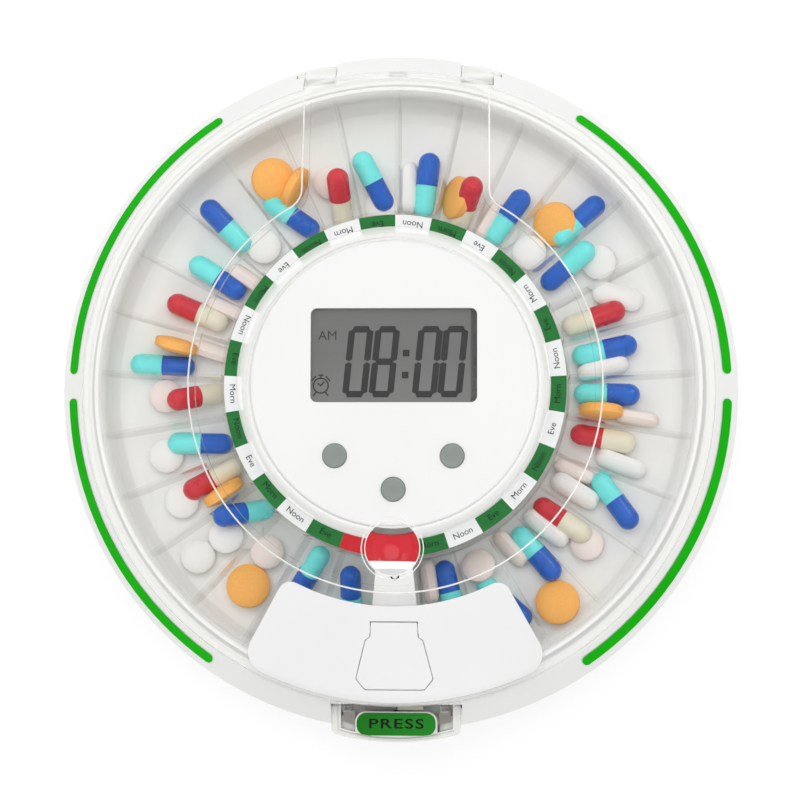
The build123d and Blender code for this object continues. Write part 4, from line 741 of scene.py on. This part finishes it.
# Edge line: a painted highlight, a pale wire along the foot of the lid's raised middle and of its neck, where
# the moulded edge catches the light.
PLATEAU, NECK_HALF, NECK_END = 0.06515, 0.02965, 0.0955
BEND_X, BEND_Y, BEND_R = 0.0365, 0.06206, 0.00685
leave = atan2(BEND_Y, BEND_X)
bends = [leave * (1 - k / 8) for k in range(9)]
neck = [(BEND_X - BEND_R * cos(a), BEND_Y - BEND_R * sin(a)) for a in bends]
neck += [(NECK_HALF, BEND_Y + (NECK_END - BEND_Y) * k / 10) for k in range(1, 11)]
round_way = [pi - leave + (pi + 2 * leave) * k / 120 for k in range(1, 120)]
plan = [(-x, y) for x, y in reversed(neck)] + [(PLATEAU * cos(a), PLATEAU * sin(a)) for a in round_way] + neck
LID_INNER_R, FOOT_Z, LID_FALL = 0.0655, 0.0502, 8.7 / 36
foot = [(x, y, FOOT_Z - (hypot(x, y) - LID_INNER_R) * LID_FALL) for x, y in plan]
piece("lid_edge_highlight", tube(foot, 0.00028), painted_edge_highlight, body="lid_assembly")

# Dose lens: a thick clear lens that enlarges the name of the dose under it.
lens_glass, tree, shader = material("lens_glass")
tree.nodes.remove(shader)
bent = tree.nodes.new("ShaderNodeBsdfRefraction")
bent.inputs["IOR"].default_value = 1.43
tree.links.new(spread(tree, object_noise(tree, 60), 0.0, 0.01), bent.inputs["Roughness"])
shine = tree.nodes.new("ShaderNodeBsdfGlossy")
shine.inputs["Roughness"].default_value = 0.05
edge = tree.nodes.new("ShaderNodeFresnel")
edge.inputs["IOR"].default_value = 1.3
lit = mixed_shader(tree, edge.outputs[0], bent.outputs[0], shine.outputs[0])
open_way = tree.nodes.new("ShaderNodeBsdfTransparent").outputs[0]
lens_way = mixed_shader(tree, lighting_ray(tree), lit, open_way)
tree.links.new(lens_way, tree.nodes["Material Output"].inputs["Surface"])
finish(lens_glass, "dose_lens")
# Two pale rings round the top of the lens tube are painted highlights along its edges.
lens_rim_highlights = bmesh.new()
LENS_Y, TUBE_TOP_Z, RIM_HALF = -0.0512, 0.0586, 0.00016
for radius in (0.0085, 0.0096):
    turns = [pi * k / 4 for k in range(8)]
    round_section = [(radius + RIM_HALF * cos(a), TUBE_TOP_Z + RIM_HALF * sin(a)) for a in turns]
    added(lens_rim_highlights, turned(round_section, 64), Matrix.Translation((0, LENS_Y, 0)))
piece("lens_rim_highlights", lens_rim_highlights, painted_edge_highlight, body="lid_assembly")

# Hatch: a white curved panel let into the lid, and its small flap over the pill hole.
hatch_white = moulded("hatch_white", (0.80, 0.80, 0.795), (0.83, 0.83, 0.825), cloud=25)
finish(hatch_white, "hatch_panel", "hatch_flap")

# Front latch: the green domed PRESS label on its button, the beige lid switch, its steel bracket
# and the steel slide that holds the lid's tongues.
press_green, tree, shader = material("press_green")
# The green is painted lighter towards the label's right end and darker towards its left: painted light and
# shade across the domed label.
painted_light_across = ramped(tree, object_axis(tree, "X"), -0.0127, 0.0090, 1.0, 0.0)
greens = tree.nodes.new("ShaderNodeMix")
greens.data_type = "RGBA"
greens.inputs["A"].default_value = (0.014, 0.215, 0.018, 1)
greens.inputs["B"].default_value = (0.010, 0.165, 0.010, 1)
tree.links.new(painted_light_across, greens.inputs["Factor"])
tree.links.new(greens.outputs["Result"], shader.inputs["Base Color"])
tree.links.new(spread(tree, object_noise(tree, 120), 0.12, 0.2), shader.inputs["Roughness"])
shader.inputs["Specular IOR Level"].default_value = 0.25
finish(press_green, "press_label")
low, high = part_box("press_label")
press_word = lettering("PRESS", 0.0031, 0.00006, 1.14)
press_word.transform(Matrix.Scale(1.48, 4, (1, 0, 0)))
press_word.transform(Matrix.Translation((0, (low.y + high.y) / 2, high.z + 0.00003)))
piece("press_word", press_word, black_ink, body="release", slot="label_green")
sensor_beige = moulded("sensor_beige", (0.56, 0.52, 0.42), (0.62, 0.58, 0.48), cloud=200)
finish(sensor_beige, "lid_sensor")
bracket_steel = steel("bracket_steel", (0.30, 0.28, 0.25), (0.56, 0.54, 0.50), brushed=(0.6, 1.5, 1))
finish(bracket_steel, "sensor_bracket")
slide_steel = steel("slide_steel", (0.72, 0.68, 0.63), (0.82, 0.79, 0.74), gloss=(0.4, 0.5))
finish(slide_steel, "latch_slider", "latch_spring", "lid_spring", "battery_springs")

# Hinge spring: two coils of round wire on the pin, joined by a bight that presses on the lid's edge.
PIN_Y, PIN_Z = 0.103, 0.027
COIL_R, COIL_START, COIL_PITCH, COIL_TURNS, WIRE_R = 0.0015, 0.0042, 0.0012, 3, 0.00035
BIGHT_Y, BEND_Z, LEG_END_Z = 0.10205, 0.0332, 0.0282
bight = [(0, BIGHT_Y, BEND_Z + 0.0011)]
bight += [(0.0006 + 0.0010 * sin(a), BIGHT_Y, BEND_Z + 0.0011 * cos(a)) for a in (0, 0.4, 0.8, 1.2)]
for step in range(13):
    way = step / 12
    ease = way * way * (3 - 2 * way)
    bight.append((0.0016 + (COIL_START - 0.0016) * ease, BIGHT_Y + (PIN_Y - COIL_R - BIGHT_Y) * ease,
                  BEND_Z + (LEG_END_Z - BEND_Z) * way))
coil = []
for k in range(24 * COIL_TURNS + 1):
    a = pi * k / 12
    coil.append((COIL_START + COIL_PITCH * k / 24, PIN_Y - COIL_R * cos(a), PIN_Z - COIL_R * sin(a)))
leg = [(COIL_START + COIL_PITCH * COIL_TURNS + 0.0002, PIN_Y - COIL_R, PIN_Z - 0.0024)]
half_spring = bight + coil + leg
wound = [(-x, y, z) for x, y, z in reversed(half_spring[1:])] + half_spring
hinge_spring = piece("hinge_spring", tube(wound, WIRE_R), slide_steel, body="housing")
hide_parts("lid_spring")

# Inside: clock board with its switches and plungers, display holder and speaker.
board_green = moulded("board_green", (0.010, 0.12, 0.035), (0.016, 0.16, 0.05), gloss=(0.3, 0.4), cloud=120)
finish(board_green, "circuit_board")
black_plastic = moulded("black_plastic", (0.018, 0.018, 0.018), (0.028, 0.028, 0.028), gloss=(0.4, 0.5),
                         cloud=80)
finish(black_plastic, "switch_bodies", "left_plunger", "right_plunger", "centre_plunger", "lcd_holder",
       "speaker", "index_sensor")

# Drive: gear motor, its pinion and the toothed ring under the tray, in white acetal like the hinge pin.
acetal = moulded("acetal", (0.74, 0.73, 0.68), (0.80, 0.79, 0.74), gloss=(0.35, 0.45), cloud=60)
finish(acetal, "drive_pinion", "drive_ring", "hinge_pin")
finish(steel("motor_can", (0.40, 0.40, 0.39), (0.52, 0.52, 0.50), brushed=(1, 1, 6)), "gear_motor")

# Batteries: four plain cells in grey printed jackets.
cell_jacket = moulded("cell_jacket", (0.10, 0.10, 0.11), (0.14, 0.14, 0.15), gloss=(0.25, 0.3), cloud=60)
finish(cell_jacket, "batteries")
